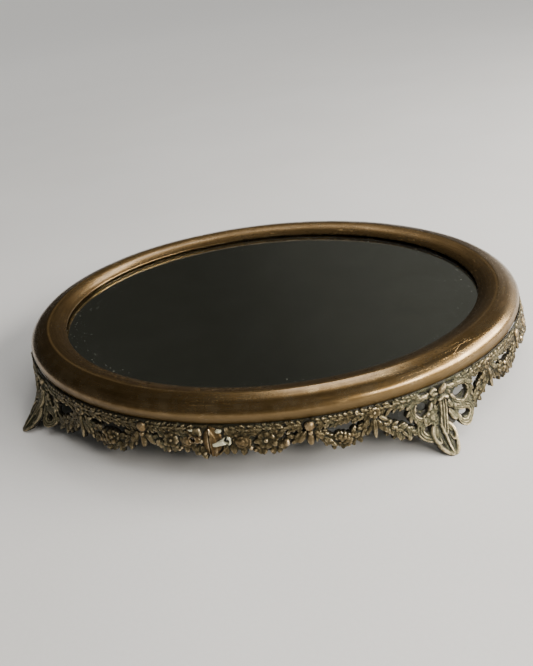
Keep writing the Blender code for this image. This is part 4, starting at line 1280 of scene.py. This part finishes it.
def paper_material():
    p = Paint("kraft_paper")
    fibre = p.noise(scale=0.9, detail=6.0, rough=0.7, vector=p.stretch(0.4, 1.6, 1.0))
    cloud = p.noise(scale=0.03, detail=4.0, rough=0.6)
    colour = p.ramp(fibre * 0.55 + cloud * 0.45, (0.36, (0.20, 0.135, 0.078)),
                    (0.52, (0.36, 0.265, 0.17)), (0.68, (0.47, 0.36, 0.24)))
    p.set(colour=colour, rough=0.92, spec=0.2)
    p.bump(fibre, depth=0.06)
    return p.mat


def felt_material():
    p = Paint("felt")
    fibre = p.noise(scale=1.5, detail=8.0, rough=0.75, distortion=1.2)
    tuft = p.noise(scale=4.5, detail=4.0, rough=0.7, offset=(3.0, 2.0, 8.0), distortion=0.8)
    cloud = p.noise(scale=0.022, detail=4.0, rough=0.6)
    colour = p.ramp(fibre * 0.5 + cloud * 0.5, (0.34, (0.020, 0.042, 0.028)),
                    (0.50, (0.048, 0.088, 0.060)), (0.68, (0.095, 0.135, 0.096)))
    lint = p.noise(scale=2.4, detail=2.0, rough=0.5, vector=p.stretch(0.25, 2.0, 1.0))
    colour = p.mix(lint.step(0.68, 0.76) * 0.5, colour, (0.30, 0.31, 0.26))
    p.set(colour=colour, rough=1.0, spec=0.1, sheen=0.5)
    p.bump(fibre + tuft * 0.8, depth=0.45)
    return p.mat


def glass_material():
    """Thin clear plate: what lies under it shows through, with a faint green body and dust."""
    p = Paint("mirror_glass")
    glass_ior = 1.5
    dust = (p.noise(scale=1.3, detail=4.0, rough=0.7).step(0.60, 0.72)
            * p.noise(scale=0.03, detail=3.0, rough=0.5).step(0.45, 0.65))
    haze = p.noise(scale=0.018, detail=4.0, rough=0.6, distortion=0.8)
    p.set(colour=(0.42, 0.44, 0.40), rough=0.75, metal=0.0)
    clear = p.node("BsdfRefraction", {"Color": (0.985, 0.988, 0.965), "Roughness": 0.0,
                                      "IOR": glass_ior})
    gloss = p.node("BsdfGlossy", {"Color": (0.94, 0.94, 0.90), "Roughness": 0.012 + haze * 0.02})
    # the plate mirrors only on its outside
    outside = 1.0 - p.node("NewGeometry", {}, out="Backfacing")
    mirror = p.node("Fresnel", {"IOR": glass_ior}) * outside
    glass = p.node("MixShader", {0: mirror, 1: clear, 2: gloss})
    p.put(p.out.inputs[0], p.node("MixShader", {0: dust * 0.10, 1: glass, 2: p.surface}))
    return p.mat


def silver_material():
    p = Paint("silvering")
    x, y, _ = p.xyz()
    # how near the sight edge: 0 in the middle, 1 at the plate's edge
    share_x, share_y = x / (HALF_LENGTH - SILVER_INSET), y / (HALF_WIDTH - SILVER_INSET)
    near = (share_x * share_x + share_y * share_y).sqrt()
    cloud = p.noise(scale=0.035, detail=6.0, rough=0.62, distortion=0.5)
    fine = p.noise(scale=0.8, detail=5.0, rough=0.7, offset=(4.0, 8.0, 2.0))
    # foxed toward the edge, and more on the left
    foxing = near.step(0.80, 1.0, high=0.34) + (cloud - 0.5) * 0.9
    foxing = foxing + x.step(-40.0, -165.0, high=0.12)
    spots = (p.cells(scale=0.28).step(0.20, 0.07)
             * (foxing + (fine - 0.5) * 1.3).step(0.16, 0.42))
    edge = (foxing + (fine - 0.5) * 0.5).step(0.66, 0.84)
    colour = p.ramp(cloud, (0.35, (0.77, 0.77, 0.73)), (0.65, (0.83, 0.83, 0.79)))
    bad = (spots * 0.8).max(edge)
    colour = p.mix(bad, colour, p.ramp(fine, (0.38, (0.06, 0.058, 0.045)),
                                       (0.62, (0.30, 0.30, 0.24))))
    p.set(colour=colour, metal=1.0 - bad * 0.7, rough=0.015 + bad * 0.5)
    p.bump(p.noise(scale=0.01, detail=2.0, rough=0.4), depth=0.02)
    return p.mat


def floor_material():
    p = Paint("floor")
    mottle = p.noise(scale=0.004, detail=4.0, rough=0.5)
    fine = p.noise(scale=0.35, detail=5.0, rough=0.6)
    colour = p.ramp(mottle * 0.7 + fine * 0.3, (0.3, (0.60, 0.59, 0.575)),
                    (0.7, (0.66, 0.65, 0.635)))
    # painted light: paler far from the tray, where the lamps' light falls off
    x, y, _ = p.xyz()
    far = (x * x + y * y).sqrt()
    colour = p.mix(far.step(500.0, 2600.0), colour, (0.90, 0.89, 0.87))
    p.set(colour=colour, rough=0.85, spec=0.15)
    p.bump(fine, depth=0.05)
    return p.mat


# ====================================================================== put together
def finish_frame_pieces():
    """Materials for the pieces that keep their own solid, soft edges on the sheet brass."""
    sheet, screw = sheet_brass_material(), screw_material()
    fixed = {"mirror_glass": glass_material(), "mirror_silvering": silver_material(),
             "protective_paper": paper_material(), "backing_board": wood_material(),
             "felt_cover": felt_material()}
    for name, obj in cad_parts.items():
        if name == "rim_frame" or name.startswith("gallery_"):
            continue
        obj.data.materials.clear()
        obj.data.materials.append(fixed.get(name) or (screw if "screw" in name else sheet))
        if name.startswith(("bracket_", "splice_")) and "screw" not in name:
            bevel = obj.modifiers.new("soft edges", "BEVEL")
            bevel.width = 0.12 * MM
            bevel.segments = 2
            bevel.limit_method = "ANGLE"
            bevel.angle_limit = math.radians(50)


cast_brass = cast_material()
seed = 7
for end in ("front", "back"):
    for side in ("left", "right"):
        make_casting(end, side, seed, cast_brass)
        seed += 1
make_rim(rim_material())
finish_frame_pieces()

# ====================================================================== floor, light, camera
# from here on places and sizes are in metres
bpy.ops.mesh.primitive_plane_add(size=120.0)
floor = bpy.context.object
floor.name = "floor"
floor.data.materials.append(floor_material())


def area_light(name, place, target, size, power, colour):
    light = bpy.data.lights.new(name, "AREA")
    light.shape = "RECTANGLE"
    light.size, light.size_y = size
    light.energy = power
    light.color = colour
    obj = link_object(name, light)
    obj.location = place
    obj.rotation_euler = (Vector(target) - Vector(place)).to_track_quat("-Z", "Y").to_euler()


def fill_sun():
    """A weak even sun that keeps the far floor pale; the metal is lit by the lamps."""
    light = bpy.data.lights.new("fill", "SUN")
    light.energy = 1.7
    light.angle = math.radians(70)
    light.color = (1.0, 0.99, 0.97)
    obj = link_object("fill", light)
    obj.rotation_euler = (math.radians(-12), math.radians(14), 0.0)
    obj.visible_glossy = False


def studio_world():
    world = bpy.data.worlds.new("studio")
    bpy.context.scene.world = world
    world.use_nodes = True
    graph = Graph(world.node_tree, "ShaderNodeOutputWorld")
    view = graph.node("TexCoord", {}, out="Generated")

    def lobe(direction, wide, narrow):
        """1 within narrow degrees of the direction, 0 beyond wide degrees."""
        dot = graph.node("VectorMath", {0: view, 1: Vector(direction).normalized()},
                         out="Value", operation="DOT_PRODUCT")
        return dot.step(math.cos(math.radians(wide)), math.cos(math.radians(narrow)))

    # even grey room, dimmer toward the front left
    sky = graph.mix(lobe((-0.75, -0.65, 0.25), wide=105, narrow=40),
                    (0.34, 0.34, 0.33), (0.13, 0.13, 0.125))
    # dark behind, where the mirror looks, a little lighter and then bright toward the right
    for direction, wide, narrow, colour in (
            ((-0.34, 0.86, 0.42), 78, 44, (0.036, 0.036, 0.032)),
            ((0.30, 0.93, 0.22), 42, 6, (0.115, 0.115, 0.108)),
            ((0.48, 0.86, 0.12), 26, 8, (1.3, 1.27, 1.2))):
        sky = graph.mix(lobe(direction, wide, narrow), sky, colour)
    graph.put(graph.out.inputs[0], graph.node("Background", {"Color": sky, "Strength": 0.8}))


def tilted_camera(target, distance, elevation, azimuth, roll, lens):
    """Looks at the target; angles in degrees, azimuth from -y toward +x."""
    elevation, azimuth, roll = (math.radians(angle) for angle in (elevation, azimuth, roll))
    target = Vector(target)
    eye = target + distance * Vector((math.sin(azimuth) * math.cos(elevation),
                                      -math.cos(azimuth) * math.cos(elevation),
                                      math.sin(elevation)))
    ahead = (target - eye).normalized()
    right = ahead.cross(Vector((0, 0, 1))).normalized()
    up = right.cross(ahead)
    right, up = (right * math.cos(roll) + up * math.sin(roll),
                 -right * math.sin(roll) + up * math.cos(roll))
    data = bpy.data.cameras.new("camera")
    data.lens = lens
    data.sensor_width = 36.0
    data.clip_end = 200.0
    camera = link_object("camera", data)
    camera.matrix_world = Matrix(((right.x, up.x, -ahead.x, eye.x),
                                  (right.y, up.y, -ahead.y, eye.y),
                                  (right.z, up.z, -ahead.z, eye.z), (0, 0, 0, 1)))
    bpy.context.scene.camera = camera


# a broad soft key on the right, a small softer one in front of it, and a high light at the
# back for the far slope of the rim
area_light("key", place=(1.15, 0.16, 0.62), target=(0.05, 0.0, 0.03), size=(1.1, 0.5),
           power=36.0, colour=(1.0, 0.965, 0.91))
area_light("front_right", place=(1.05, -0.70, 0.62), target=(0.08, -0.08, 0.03),
           size=(0.5, 0.3), power=12.0, colour=(1.0, 0.95, 0.88))
area_light("top_back", place=(-0.12, 1.04, 1.58), target=(0.0, 0.0, 0.0), size=(0.5, 0.3),
           power=4.6, colour=(1.0, 0.985, 0.96))
fill_sun()
studio_world()
# the camera stands low at the right front and is tipped a little
tilted_camera(target=(-0.010792, 0.024301, 0.0), distance=0.616284, elevation=28.4066,
              azimuth=18.9151, roll=-9.6746, lens=39.22)
